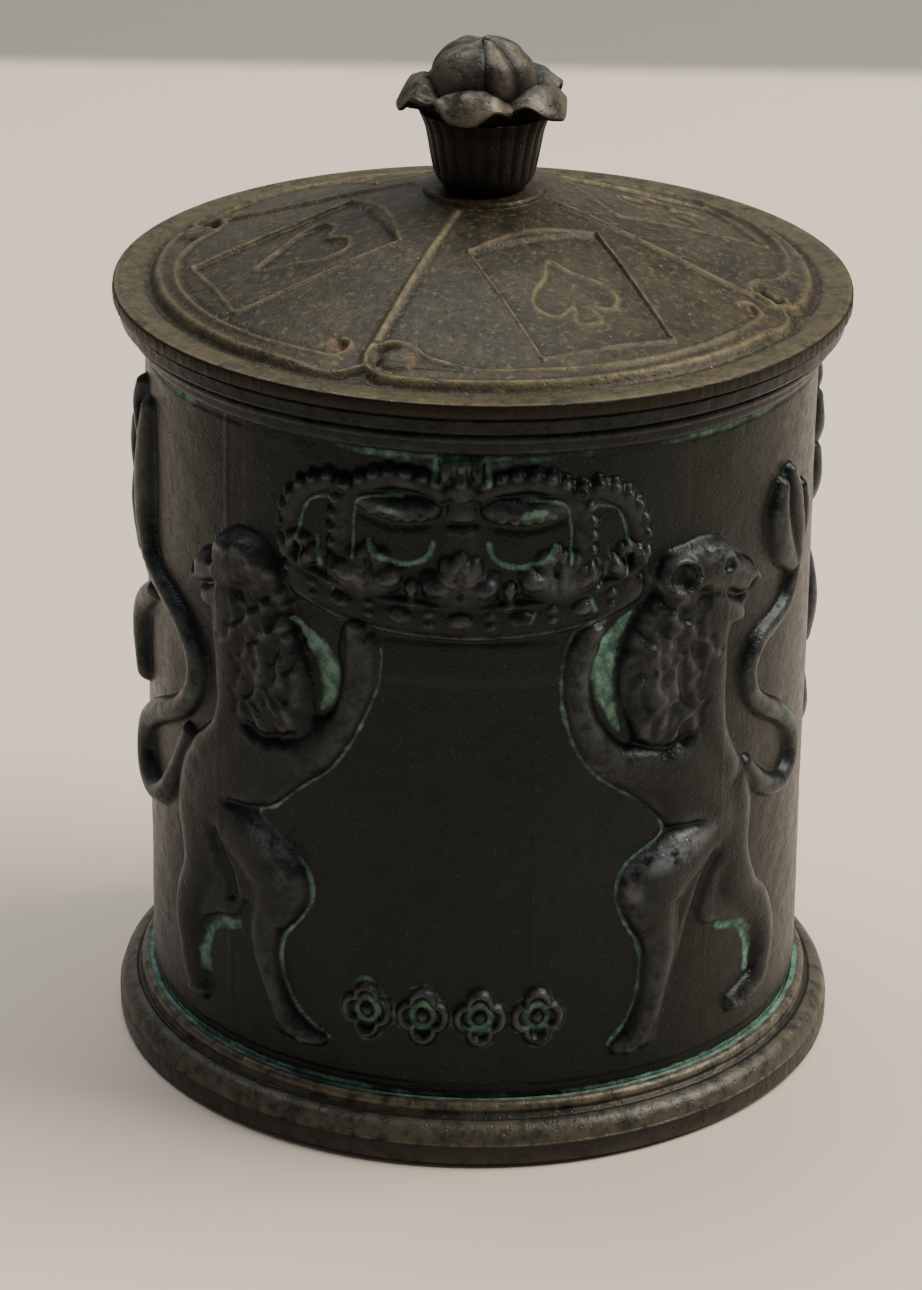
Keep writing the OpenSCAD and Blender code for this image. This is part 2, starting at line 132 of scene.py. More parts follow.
class Patch:
    """Height and verdigris fields over a rectangle of the wall or the lid."""

    def __init__(self, u, z):
        self.u, self.z = np.meshgrid(u, z)
        self.h = np.zeros_like(self.u)
        self.green = np.zeros_like(self.u)

    def distance(self, path):
        """Distance to an open path, and how far along it the nearest point is (0 to 1)."""
        best = np.full(self.u.shape, 1e9)
        along = np.zeros_like(self.u)
        n = len(path) - 1
        for i in range(n):
            a, b = path[i, :2], path[i + 1, :2]
            d = b - a
            t = ((self.u - a[0]) * d[0] + (self.z - a[1]) * d[1]) / max(d @ d, 1e-12)
            t = unit(t)
            near = np.hypot(self.u - a[0] - t * d[0], self.z - a[1] - t * d[1])
            closer = near < best
            best = np.where(closer, near, best)
            along = np.where(closer, (i + t) / n, along)
        return best, along

    def inside(self, outline):
        """Distance to a closed outline, positive inside."""
        ring = np.concatenate([outline, outline[:1]])
        best, _ = self.distance(ring)
        odd = np.zeros(self.u.shape, bool)
        for a, b in zip(ring[:-1], ring[1:]):
            if a[1] == b[1]:
                continue
            cross = (a[1] > self.z) != (b[1] > self.z)
            at = a[0] + (self.z - a[1]) / (b[1] - a[1]) * (b[0] - a[0])
            odd ^= cross & (self.u < at)
        return np.where(odd, best, -best)

    def limb(self, rows, sharp=0.5, steps=5):
        """Rounded height of a limb through rows of (u, z, radius, height)."""
        path = spline(rows, steps, False)
        d, along = self.distance(path)
        at = along * (len(path) - 1)
        radius = np.interp(at, np.arange(len(path)), path[:, 2])
        height = np.interp(at, np.arange(len(path)), path[:, 3])
        return height * unit(1 - (d / radius) ** 2) ** sharp

    def groove(self, rows, width, depth, steps=5):
        """Cuts a soft groove along an open path."""
        d, along = self.distance(spline(rows, steps, False))
        taper = unit(np.minimum(along, 1 - along) * 6 + 0.25)
        self.h -= depth * taper * bell(d, width)

    def ridge(self, rows, width, height, steps=5):
        self.groove(rows, width, -height, steps)

    def bump(self, u, z, r, height, squash=1.0, turn=0.0):
        """Adds one rounded bump, stretched by squash along the direction turn (degrees)."""
        x, y = turned(self.u - u, self.z - z, turn)
        x, y = x / (r * squash), y / r
        self.h += height * unit(1 - x * x - y * y) ** 0.75

    def stain(self, rows, width, amount, steps=5, taper=False):
        """Verdigris along an open path; taper narrows it to points at its two ends."""
        d, along = self.distance(spline(rows, steps, False))
        if taper:
            width = width * (0.12 + 0.88 * np.sin(math.pi * along))
        self.add_green(amount * bell(d, width))

    def add_green(self, field):
        self.green = np.maximum(self.green, field)


def smooth_max(a, b, k=0.3):
    """Maximum with a rounded inner corner of about k."""
    h = unit(0.5 + 0.5 * (a - b) / k)
    return b * (1 - h) + a * h + k * h * (1 - h)


def blur(field, sigma_rows, sigma_cols):
    """Gaussian blur by Fourier transform; the rows are padded by their own edge, the columns wrap."""
    pad = int(4 * sigma_rows) + 1
    tall = np.pad(field, ((pad, pad), (0, 0)), mode="edge")
    f = np.fft.rfft2(tall)
    fy = np.fft.fftfreq(tall.shape[0])[:, None]
    fx = np.fft.rfftfreq(tall.shape[1])[None, :]
    gain = np.exp(-2 * math.pi ** 2 * ((fy * sigma_rows) ** 2 + (fx * sigma_cols) ** 2))
    return np.fft.irfft2(f * gain, s=tall.shape)[pad:-pad]


def soft_noise(shape, sigma_rows, sigma_cols, seed):
    """Smooth random field with mean 0 and deviation 1."""
    rough = np.random.default_rng(seed).standard_normal(shape)
    smooth = blur(rough, sigma_rows, sigma_cols)
    return (smooth - smooth.mean()) / smooth.std()


# ------------------------------------------------------------------ the lions
LION_RIGHT = {
    "outline": [
        (19, 66.6), (20.2, 68.2), (22.6, 68.6), (25, 68.9), (27.4, 68.3), (29, 66.6), (31, 65.2), (33, 63.8),
        (33.8, 62.2), (32.8, 60.9), (32, 59.4), (31.2, 57.6), (29.2, 56.6), (28.9, 53.5), (28.9, 50),
        (29.3, 46.5), (31, 43), (33.2, 40.4), (34.4, 36), (33.9, 31), (35, 27), (38, 23.8), (39.8, 19.5),
        (39.6, 14.8), (38.4, 11.4), (34.6, 10.4), (31.2, 11), (31, 12.6), (33.4, 13.6), (35.5, 14.6),
        (35.6, 17), (33.6, 20.3), (30.2, 22.2), (27, 22.9), (25, 24.8), (23.6, 21), (22.2, 17), (21.4, 13.4),
        (20.6, 10.6), (16.4, 10.2), (15, 11.6), (16.8, 13.8), (18, 16.4), (18.5, 19.6), (18.2, 23),
        (16.4, 26.4), (15.4, 29.6), (16.4, 32.8), (20.6, 35.4), (20.4, 37.4), (17.4, 40.4), (13.4, 43.4),
        (10.8, 46.6), (9.3, 50.8), (8.8, 55), (9.4, 59.4), (11.4, 61.8), (13.4, 61.4), (13, 58.6),
        (12.1, 55.4), (12.6, 51.8), (14.2, 48.9), (16.4, 46.9), (16, 49.6), (15, 52.6), (14.8, 56),
        (15.6, 59.4), (17, 62), (18.6, 63.8),
    ],
    "limbs": [
        # neck and back, torso
        [(25.6, 60, 4.6, 1.7), (26, 55, 3.6, 1.9), (26.2, 50, 3.6, 1.9), (26.8, 46, 3.8, 1.9),
         (28.6, 42, 3.6, 1.7)],
        [(22.5, 48.5, 5, 1.8), (23.4, 44, 5.4, 2), (25.2, 40, 5, 1.9), (27.6, 36, 5.2, 1.7),
         (28.4, 31.5, 4.8, 1.5)],
        # raised foreleg and paw
        [(21, 43.6, 3.6, 1.7), (16.4, 44.8, 2.8, 1.6), (13.2, 47.2, 2.3, 1.5), (11.2, 51, 2.2, 1.5),
         (10.6, 55.2, 1.9, 1.5), (11.2, 59, 2.2, 1.7), (11.8, 60.4, 2, 1.7)],
        # near hind leg
        [(25.6, 33, 3.2, 1.7), (21.6, 31.4, 4.2, 2.3), (19.4, 28.8, 4.2, 2.4), (19.9, 25, 3.2, 2.1),
         (20.6, 21.4, 2.5, 1.8), (20.2, 17.4, 2.1, 1.6), (19.2, 13.6, 1.9, 1.5), (18, 11.9, 1.9, 1.5),
         (16, 11.3, 1.3, 1.2)],
        # far hind leg
        [(31, 38, 3, 1.5), (31.2, 33, 3.2, 1.5), (31.6, 28.4, 3.8, 1.7), (34.6, 24.6, 3.2, 1.7),
         (37.2, 20.8, 2.6, 1.6), (37.8, 16.8, 2.2, 1.5), (37, 13.4, 1.9, 1.4), (34.8, 11.9, 1.7, 1.3),
         (32.2, 11.7, 1.2, 1.1)],
        # mane
        [(21.4, 62, 4.2, 1.8), (20.2, 58, 5.4, 2), (19.8, 53.4, 5, 2), (20.2, 49, 4.2, 1.8)],
        # skull, muzzle and lower jaw
        [(21.4, 65.6, 3, 2.1), (24.6, 65.6, 3.4, 2.3), (28, 64.8, 2.8, 2.3), (31, 63.2, 2.3, 2.1),
         (32, 62.5, 1.9, 2)],
        [(26.6, 61.2, 2.8, 1.7), (29.2, 59.4, 1.9, 1.6), (30.6, 58.4, 1.4, 1.4)],
    ],
    "tail": [(33, 40, 1.3, 1.1), (35.6, 37.4, 1.3, 1.2), (38.6, 35.6, 1.3, 1.2), (41.6, 35.4, 1.3, 1.3),
             (43.7, 37.4, 1.3, 1.3),
             (43, 40.8, 1.3, 1.3), (39.8, 43.8, 1.3, 1.3), (36, 46, 1.3, 1.3), (33.4, 48.6, 1.3, 1.3),
             (32.8, 51.6, 1.3, 1.3), (34.4, 54.2, 1.3, 1.3), (37.4, 55.4, 1.2, 1.2), (40.4, 56.8, 1.1, 1.2),
             (42, 59.4, 1.1, 1.2), (41.8, 62, 1.4, 1.4)],
    "tuft": [
        [(41.9, 61.4, 1.5, 1.4), (41.6, 65.2, 2.1, 1.6), (40.8, 69, 1.9, 1.6), (40.2, 71.6, 1, 1.2)],
        [(41, 61, 1.3, 1.3), (38.6, 64, 2.2, 1.6), (37.6, 67.6, 1.9, 1.6), (38.2, 70.6, 1.1, 1.3)],
        [(42.6, 62, 1.1, 1.1), (44.2, 65.4, 1.6, 1.3), (44.4, 68.4, 1, 1)],
    ],
    "ear_ring": (21.3, 65.7, 1.65),
    "eye": (27.2, 65.7),
    "nostril": (31.4, 62.2),
    "mouth": [(33, 60.9), (30.4, 60.8), (27.6, 62.2)],
    "crescent": [(16.4, 62.2), (13.9, 59.2), (13.3, 55.8), (13.8, 52.4), (15.4, 48.6)],
}
LION_LEFT = dict(
    LION_RIGHT,
    outline=[
        (20.6, 64.8), (22.2, 67), (24.4, 68.4), (27, 68.7), (29.4, 67.6), (31, 65.4), (33, 64.6), (34.5, 63),
        (34.7, 61), (33.5, 59.2), (32.4, 57.4), (31.6, 54.6), (30.9, 51), (30.6, 48), (31.6, 45.4),
        (34.6, 42.6), (37.2, 39), (38.6, 35), (38.8, 31.6), (37.2, 27.4), (38.8, 23.6), (39.7, 19),
        (39, 14.6), (37.2, 11), (34.2, 10.2), (32.8, 11.4), (33.4, 13.4), (33.8, 16.6), (33.6, 20),
        (31, 21.8), (28, 22.8), (26.4, 25), (26, 21), (24.6, 17), (23.4, 13.8), (22.6, 10.8), (17.2, 10.4),
        (15.8, 11.8), (18.6, 13.6), (20.6, 16), (21.7, 19.4), (21.3, 22.6), (19, 25.6), (17.7, 28.4),
        (18.4, 31.4), (20.6, 33.6), (24.6, 36.4), (22.4, 37.8), (19.4, 40.6), (15.8, 43.6), (13.4, 47),
        (11.6, 50.8), (10.2, 55), (10.2, 59.4), (12, 61.8), (14, 61.2), (14.9, 58.2), (14.6, 54.6),
        (15.2, 51.2), (17, 49.6), (17.2, 52.6), (18.2, 56), (19.6, 59.4), (20.2, 62.2),
    ],
    limbs=[
        [(27.6, 60, 4.4, 1.8), (28, 55, 3.6, 1.9), (28, 50, 3.6, 1.9), (29.2, 46, 3.8, 1.9),
         (31.8, 42, 4.4, 1.8)],
        [(24.5, 48.5, 5.2, 1.8), (25.8, 44, 5.6, 2), (28.4, 40, 5.4, 1.9), (31.6, 36, 6, 1.8),
         (32.2, 31, 5.6, 1.6)],
        [(23.6, 43.6, 3.8, 1.7), (18.6, 44.8, 3, 1.6), (15.4, 47.4, 2.4, 1.5), (13.2, 51.4, 2.2, 1.5),
         (12.3, 55.4, 2.1, 1.5), (12.1, 59, 2.1, 1.7), (12.5, 60.4, 1.9, 1.7)],
        [(28.6, 33.6, 3.6, 1.7), (24.6, 32.2, 4.4, 2.2), (22, 29.6, 4.3, 2.3), (22.2, 26, 3.3, 2),
         (23.6, 22.4, 2.5, 1.8), (23.3, 18.4, 2.1, 1.6), (21.6, 14.2, 2, 1.5), (19.6, 12.1, 1.8, 1.5),
         (17.4, 11.6, 1.2, 1.2)],
        [(34, 39, 3.4, 1.6), (35.2, 34, 3.6, 1.6), (34.2, 28.6, 3.8, 1.7), (35.6, 24.6, 3.4, 1.6),
         (36.8, 20.4, 2.8, 1.6), (36.4, 16.4, 2.3, 1.5), (35.6, 13.2, 1.8, 1.4), (34.6, 11.8, 1.5, 1.2)],
        [(23.6, 62, 4, 1.8), (22.6, 58, 5.2, 2), (21.8, 53.6, 4.8, 2), (22.4, 49.2, 4.4, 1.8)],
        [(24.6, 65.2, 3.4, 2.3), (27.4, 65.2, 3.7, 2.6), (30.4, 63.8, 3, 2.3), (32.6, 62.6, 2.3, 2),
         (33.4, 62, 1.9, 1.9)],
        [(28.6, 61, 2.8, 1.7), (31.4, 59.6, 1.8, 1.6), (32.8, 59, 1.3, 1.4)],
    ],
    tail=[(36.4, 41.6, 1.3, 1.1), (40, 35.4, 1.4, 1.3), (43.6, 31.6, 1.6, 1.6), (47.6, 31.4, 1.8, 1.9),
          (50, 34.4, 1.8, 1.9),
          (48.4, 38.4, 1.7, 1.7), (43.4, 41.4, 1.5, 1.5), (38, 44.2, 1.5, 1.5), (34.9, 47.6, 1.6, 1.6),
          (34.6, 51.4, 1.7, 1.6), (37.2, 54.6, 1.6, 1.6), (41.4, 56.6, 1.5, 1.5), (45.4, 57.8, 1.5, 1.5),
          (48, 60, 1.6, 1.6)],
    tuft=[
        [(46.8, 58.6, 1.8, 1.6), (48.8, 63, 2.6, 1.9), (48.6, 69, 2.6, 1.8), (47.4, 75.4, 1.2, 1.3)],
        [(49.4, 58.8, 1.6, 1.5), (52.6, 62.6, 2, 1.8), (53, 66, 1.5, 1.6)],
        [(49.6, 65.6, 1.5, 1.6), (52.8, 69, 1.8, 1.8), (52.6, 72.2, 1.4, 1.6)],
        [(49.2, 71.4, 1.4, 1.5), (51.6, 74.4, 1.5, 1.6), (50.8, 77, 1, 1.3)],
        [(45.6, 54.8, 1.3, 1.4), (50.4, 51.6, 1.8, 1.8), (52.2, 47.6, 2, 1.9), (51, 43.2, 1.5, 1.6)],
    ],
    ear_ring=None,
    eye=(30, 64.9),
    nostril=(33.4, 62.4),
    mouth=[(34.6, 60.6), (32, 60.8), (29.8, 62)],
    crescent=[(20, 60.4), (17, 57.6), (15.8, 55), (15.8, 52.4), (16.8, 50.4)],
)
# Locks of the mane: middle (u, z), direction in degrees, half length
MANE_LOCKS = [
    (17.4, 62.4, 150, 1.6), (16.6, 59.6, 128, 1.9), (16.3, 56.4, 105, 2), (16.9, 53, 84, 1.9),
    (18.2, 49.8, 62, 1.8), (19.4, 62.6, 140, 1.7), (18.6, 59.8, 124, 1.8), (18.4, 56.8, 96, 2),
    (18.8, 53.6, 108, 1.8), (20, 50.6, 60, 1.9), (21.2, 60.8, 148, 1.9), (20.7, 57.8, 118, 1.7),
    (20.8, 54.8, 86, 1.8), (21.6, 51.6, 110, 1.7), (22, 48.6, 50, 1.7), (23.2, 59, 134, 1.8),
    (22.9, 55.8, 112, 1.7), (23.4, 52.6, 90, 1.7), (23.9, 49.6, 70, 1.5), (25.2, 57, 125, 1.4),
]
ROUND_WALL = 2 * math.pi * 36.5    # once round the wall, at the radius where u is measured
EDGE_ROUND = 0.75      # how far in from its outline a lion reaches its full height
EAR_FLOOR = 1.35       # highest that the ear's hollow may stand
WALL_STEP = 0.22       # grid spacing of the relief


def lion_patch(lion):
    """One lion in right-hand coordinates, on its own patch of wall."""
    p = Patch(np.arange(6.0, 56.0, WALL_STEP), np.arange(8.0, 80.0, WALL_STEP))
    body = np.zeros_like(p.h)
    for rows in lion["limbs"]:
        body = smooth_max(body, p.limb(rows), 0.35)
    edge = p.inside(spline(lion["outline"], 5))
    body = smooth_max(body, np.where(edge > 0, 0.95, 0.0), 0.3)
    p.h = body * unit(1 - np.exp(-np.clip(edge, 0, None) / EDGE_ROUND * 1.6))
    shift = lion["eye"][0] - LION_RIGHT["eye"][0]
    for u, z, turn, length in MANE_LOCKS:
        du, dz = length * math.cos(math.radians(turn)), length * math.sin(math.radians(turn))
        u += 0.8 * shift
        curl = [(u + du, z + dz), (u - 0.35 * dz / length, z + 0.35 * du / length),
                (u - 0.8 * du, z - 0.8 * dz),
                (u - 1.1 * du + 0.5 * dz / length, z - 1.0 * dz - 0.4 * du / length)]
        p.ridge(curl, 0.5, 0.26, 4)
        p.groove([(q[0] + 0.95, q[1] + 0.1) for q in curl], 0.36, 0.16, 4)
    mane = unit(p.limb(lion["limbs"][5]) / 0.9)
    p.h += mane * (0.15 * soft_noise(p.h.shape, 3.8, 2.6, 81) + 0.05 * soft_noise(p.h.shape, 1.6, 1.6, 82))
    eye_u, eye_z = lion["eye"]
    p.ridge([(eye_u - 3.2, eye_z + 2.1), (eye_u - 0.6, eye_z + 1.9), (eye_u + 1.2, eye_z + 0.6)], 0.6, 0.45)
    p.bump(eye_u, eye_z - 0.1, 0.85, -0.7)
    p.bump(eye_u, eye_z - 0.1, 0.4, 0.4)
    p.bump(lion["nostril"][0], lion["nostril"][1], 0.75, -0.7)
    p.groove(lion["mouth"], 0.4, 0.6)
    if lion["ear_ring"]:
        u, z, r = lion["ear_ring"]
        d = np.hypot(p.u - u, p.z - z)
        p.h = np.where(d < r, np.minimum(p.h, EAR_FLOOR), p.h)
        p.h += 0.85 * bell(d - r, 0.34)
    else:
        p.ridge([(eye_u - 6.6, eye_z + 0.4), (eye_u - 5.2, eye_z + 2.2), (eye_u - 3.4, eye_z + 2.6)], 0.6,
                0.35)
    # folds: belly against thigh, shoulder, between the hind legs, toes
    hip = lion["limbs"][3][1]
    p.groove([(hip[0] - 4.6, hip[1] + 2.2), (hip[0] - 0.4, hip[1] + 4.4), (hip[0] + 4.2, hip[1] + 4.6)], 0.6,
             0.75)
    p.groove([(hip[0] + 6.4, hip[1] + 1.0), (hip[0] + 4.4, hip[1] - 4.0), (hip[0] + 3.6, hip[1] - 7.6)], 0.8,
             0.6)
    elbow = lion["limbs"][2][1]
    p.groove([(elbow[0] + 0.6, elbow[1] + 2.2), (elbow[0] + 4.4, elbow[1] + 1.2),
              (elbow[0] + 7.2, elbow[1] + 2.6)], 0.6, 0.5)
    for leg in (3, 4):
        toe = lion["limbs"][leg][-1]
        for k in range(3):
            p.bump(toe[0] + 0.9 * k - 0.4, toe[1] - 0.4 - 0.15 * k, 0.62, 0.45, 1.3, 60)
    for k in range(3):
        p.bump(lion["limbs"][2][-1][0] - 1.2 + 1.1 * k, lion["limbs"][2][-1][1] + 0.9, 0.7, 0.4, 1.3, 90)
    tail = np.maximum(p.limb(lion["tail"], 0.6, 4), 0)
    for rows in lion["tuft"]:
        tail = smooth_max(tail, p.limb(rows, 0.6), 0.15)
    p.h = smooth_max(np.maximum(p.h, 0), tail, 0.2)
    # verdigris: crescent behind the mane, foreleg and belly, hind legs, tail
    p.stain(lion["crescent"], 1.5, 1.0, taper=True)
    outline = spline(lion["outline"], 5)
    belly = outline[int(0.58 * len(outline)):int(0.83 * len(outline))]
    d, _ = p.distance(belly)
    p.add_green(0.7 * bell(d, 0.3))
    d, _ = p.distance(outline)
    p.add_green(0.22 * bell(d, 0.4))
    heel = lion["limbs"][4][5]
    p.stain([(heel[0] - 8.4, heel[1] + 5.4), (heel[0] - 4.6, heel[1] + 4.0), (heel[0] - 2.9, heel[1] + 0.6),
             (heel[0] - 3.0, heel[1] - 1.8)], 0.8, 0.95)
    p.stain([row[:2] for row in lion["tail"][3:9]], 1.9, 0.42)
    return p


# ------------------------------------------------------------------ the crown
CROWN_U = -1.8
CROWN_Z = 62.0
ARCH_OUTER = [(-17.6, 3.6), (-18.7, 8.4), (-17.6, 12.2), (-14.6, 14.2), (-12.4, 14)]
ARCH_INNER = [(-12.4, 5.6), (-12.6, 10), (-11.8, 13.4), (-8, 15.6), (-4.6, 15.6), (-2, 14.6)]
ARCH_BACK = [(-10, 13.2), (-6.6, 12.4), (-3.2, 12.8)]
BAND = [(-17.4, 3), (-11.4, 1.2), (-4, 0.4), (4, 0.4), (11.4, 1.2), (17.4, 3)]


def beads_along(p, rows, spacing, r, height, offset=0.0):
    """A row of beads along a curve, offset to its left."""
    path = spline(rows, 8, False)
    step = np.hypot(*np.diff(path, axis=0).T)
    length = np.concatenate([[0], np.cumsum(step)])
    for s in np.arange(spacing / 2, length[-1], spacing):
        at = np.array([np.interp(s, length, path[:, k]) for k in (0, 1)])
        ahead = np.array([np.interp(min(s + 0.1, length[-1]), length, path[:, k]) for k in (0, 1)])
        back = np.array([np.interp(max(s - 0.1, 0), length, path[:, k]) for k in (0, 1)])
        d = (ahead - back) / max(np.hypot(*(ahead - back)), 1e-9)
        p.bump(at[0] - d[1] * offset, at[1] + d[0] * offset, r, height)


def crown_patch():
    """The crown, in coordinates centred on itself."""
    p = Patch(np.arange(-25.0, 25.0, WALL_STEP), np.arange(55.0, 83.0, WALL_STEP))
    p.z -= CROWN_Z
    cap = p.inside(spline([(-17, 2), (-19.2, 8), (-17.4, 13), (-12, 14.6), (-6, 16.2), (0, 15.4), (6, 16.2),
                           (12, 14.6), (17.4, 13), (19.2, 8), (17, 2), (8, 0), (-8, 0)], 6))
    p.h = 0.35 * unit(cap / 1.2)
    for side in (-1, 1):
        flip = (lambda rows: mirrored(rows)) if side > 0 else (lambda rows: np.array(rows, float))

        def strand(rows, r, height):
            c = flip(rows)
            return p.limb(np.column_stack([c, np.full(len(c), r), np.full(len(c), height)]), 0.55)

        p.h = smooth_max(p.h, strand(ARCH_OUTER, 1.25, 1.05), 0.12)
        p.h = smooth_max(p.h, strand(ARCH_INNER, 1.35, 1.2), 0.12)
        p.h = smooth_max(p.h, strand(ARCH_BACK, 1.45, 1.3), 0.12)
        p.groove(flip([(-10.8, 11.6), (-7.0, 10.5), (-3.0, 11.0)]), 0.5, 0.25)
        lean = -1.05 if side > 0 else 1.05
        beads_along(p, flip(ARCH_OUTER), 1.55, 0.66, 0.72, lean)
        beads_along(p, flip(ARCH_INNER), 1.55, 0.66, 0.72, lean)
        beads_along(p, flip([(-10.0, 12.0), (-6.6, 11.4), (-3.4, 11.7)]), 1.35, 0.5, 0.45)
    # middle arch, narrow at the top and broad at its foot
    p.h = smooth_max(p.h, p.limb([(0, 13.6, 1.5, 1.1), (0, 9.6, 1.9, 1.1), (0, 6.0, 2.6, 1.1)], 0.4), 0.15)
    p.groove([(-1.4, 11.2), (1.6, 11.2)], 0.35, 0.55)
    # jewelled band
    c = np.array(BAND)
    band = p.limb(np.column_stack([c, np.full(len(c), 2.1), np.full(len(c), 0.95)]), 0.3)
    p.h = smooth_max(p.h, band, 0.15)
    for k in (-1, 1):
        p.ridge([(u, z + 1.75 * k) for u, z in BAND], 0.28, 0.32)
    for i, u in enumerate(np.linspace(-15.6, 15.6, 11)):
        z = 0.5 + 0.0075 * u * u
        if i % 2:
            p.bump(u, z, 0.95, 0.6, 1.35, 0.9 * u)
        else:
            for k in (-0.65, 0.65):
                p.bump(u, z + k, 0.5, 0.5)
    # broad leaves and points standing on the band
    for u, s in ((0.0, 1.1), (-9.6, 1.0), (9.8, 1.05), (-17.4, 0.6), (17.4, 0.6)):
        z = 4.7 + 0.006 * u * u
        body = p.limb([(u - 2.3 * s, z - 0.9, 1.5 * s, 1.15), (u, z - 1.3, 1.7 * s, 1.35),
                       (u + 2.3 * s, z - 0.9, 1.5 * s, 1.15)], 0.5)
        p.h = smooth_max(p.h, body, 0.15)
        for du, dz, r, turn in ((-2.5, -0.1, 1.15, 150), (2.5, -0.1, 1.15, 30), (-1.0, 1.3, 1.1, 115),
                                (1.1, 1.35, 1.1, 60), (0.0, 2.2, 0.85, 90)):
            p.bump(u + du * s, z + dz * s, r * s, 0.8, 1.35, turn)
        p.groove([(u, z + 1.8 * s), (u, z - 1.6)], 0.32, 0.5)
    for u in (-5.0, 5.0, -13.6, 13.8):
        z = 3.7 + 0.008 * u * u
        p.bump(u, z, 0.9, 0.85)
        p.bump(u, z - 1.2, 0.6, 0.6, 1.6, 90)
    # orb and cross
    p.h = smooth_max(p.h, p.limb([(0.0, 14.9, 1.7, 1.75), (0.0, 15.1, 1.7, 1.75)], 0.5), 0.1)
    cross = np.minimum(2.3 - abs(p.u), 18.4 - p.z)
    cross = np.minimum(cross, p.z - 15.6)
    p.h = smooth_max(p.h, 1.35 * unit(cross / 0.35), 0.15)
    for u, z in ((-1.5, 17.1), (1.5, 17.1), (0, 16.3), (0, 17.9)):
        p.bump(u, z, 0.75, 0.4)
    p.groove([(-0.9, 18.3), (-0.75, 17.1), (-0.9, 16.0)], 0.3, 0.55)
    p.groove([(0.9, 18.3), (0.75, 17.1), (0.9, 16.0)], 0.3, 0.55)
    # verdigris in the openings and round the arches
    for side in (-1, 1):
        for rows, w, amount in (
            ([(-17.0, 4.6), (-17.4, 8.4), (-16.2, 11.9), (-13.4, 12.7)], 0.2, 1.0),
            ([(-11.1, 6.6), (-11.2, 10.6), (-10.2, 13.4), (-6.0, 13.9)], 0.2, 1.0),
            ([(-15.0, 5.0), (-15.3, 8.0)], 0.35, 0.7),
            ([(-9.6, 8.6), (-8.6, 7.2), (-5.6, 6.4), (-3.4, 7.4), (-2.8, 9.0)], 0.42, 0.85),
            ([(-8.2, 12.6), (-6.2, 12.3)], 0.55, 0.8),
            ([(-13.2, 3.0), (-13.8, 1.2)], 0.4, 0.7),
            ([(-2.6, 17.2), (-7.0, 18.0), (-13.0, 18.4)], 0.7, 0.55),
            ([(-2.7, 15.8), (-2.7, 18.6)], 0.45, 0.85),
            ([(-7.6, 1.4), (-7.0, 0.4)], 0.35, 0.5),
        ):
            p.stain(mirrored(rows) if side > 0 else rows, w, amount)
    return p


# ------------------------------------------------------------------ rosettes low on the front panel
def rosette_patch():
    """Four small rosettes in a row, the generic ornament that stands in for the photographed relief."""
    middle_u, middle_z, spacing, tall = -2.2, 16.2, 6.1, 1.18
    p = Patch(np.arange(-17.0, 13.0, WALL_STEP), np.arange(8.0, 25.0, WALL_STEP))
    for k in (-1.5, -0.5, 0.5, 1.5):
        du, dz = p.u - (middle_u + spacing * k), (p.z - middle_z) / tall
        r, a = np.hypot(du, dz), np.arctan2(dz, du)
        rim = 1.55 + 0.85 * np.abs(np.cos(2 * a)) ** 0.7
        p.h += 1.0 * bell(r - rim, 0.48) + 0.8 * unit(1 - (r / 0.75) ** 2) ** 0.6
        p.add_green(0.85 * bell(r - 1.15, 0.45))
        p.add_green(0.5 * bell(r - rim - 0.75, 0.35))
    return p


# ------------------------------------------------------------------ meshes
def make_mesh(name, verts_mm, quads, attributes=None, smooth=True):
    """A mesh object from arrays: vertices in millimetres, quads, and float fields stored per vertex."""
    mesh = bpy.data.meshes.new(name)
    verts = np.asarray(verts_mm, np.float32) * MM
    quads = np.asarray(quads, np.int32)
    mesh.vertices.add(len(verts))
    mesh.vertices.foreach_set("co", verts.ravel())
    corners = quads.shape[1]
    mesh.loops.add(quads.size)
    mesh.loops.foreach_set("vertex_index", quads.ravel())
    mesh.polygons.add(len(quads))
    mesh.polygons.foreach_set("loop_start", np.arange(0, quads.size, corners, dtype=np.int32))
    mesh.update(calc_edges=True)
    mesh.validate()
    mesh.polygons.foreach_set("use_smooth", np.full(len(mesh.polygons), smooth))
    for key, field in (attributes or {}).items():
        layer = mesh.attributes.new(key, "FLOAT", "POINT")
        layer.data.foreach_set("value", np.asarray(field, np.float32).ravel())
    obj = bpy.data.objects.new(name, mesh)
    bpy.context.scene.collection.objects.link(obj)
    return obj


def wrapped_quads(rows, cols, close_rows):
    """Quads over a grid whose columns wrap round; close_rows also joins the last row to the first."""
    i = np.arange(rows if close_rows else rows - 1)
    j = np.arange(cols)
    ii, jj = np.meshgrid(i, j, indexing="ij")
    up, right = (ii + 1) % rows, (jj + 1) % cols
    return np.stack([ii * cols + jj, ii * cols + right, up * cols + right, up * cols + jj], -1).reshape(-1, 4)


def lathe(name, radius, height, attributes=None, close_rows=True):
    """A turned shape: radius and height are (rows, columns) arrays, with the columns at angles(cols).
    Rows run up the outside and down the inside, so that faces look outwards."""
    rows, cols = radius.shape
    a = angles(cols)
    x, y = radius * np.sin(a), -radius * np.cos(a)
    verts = np.stack([x, y, np.broadcast_to(height, radius.shape)], -1).reshape(-1, 3)
    return make_mesh(name, verts, wrapped_quads(rows, cols, close_rows), attributes)


SIDE_PAINTED_SHADE = 0.62       # how far painted shade darkens the upright sides of the foot and collar
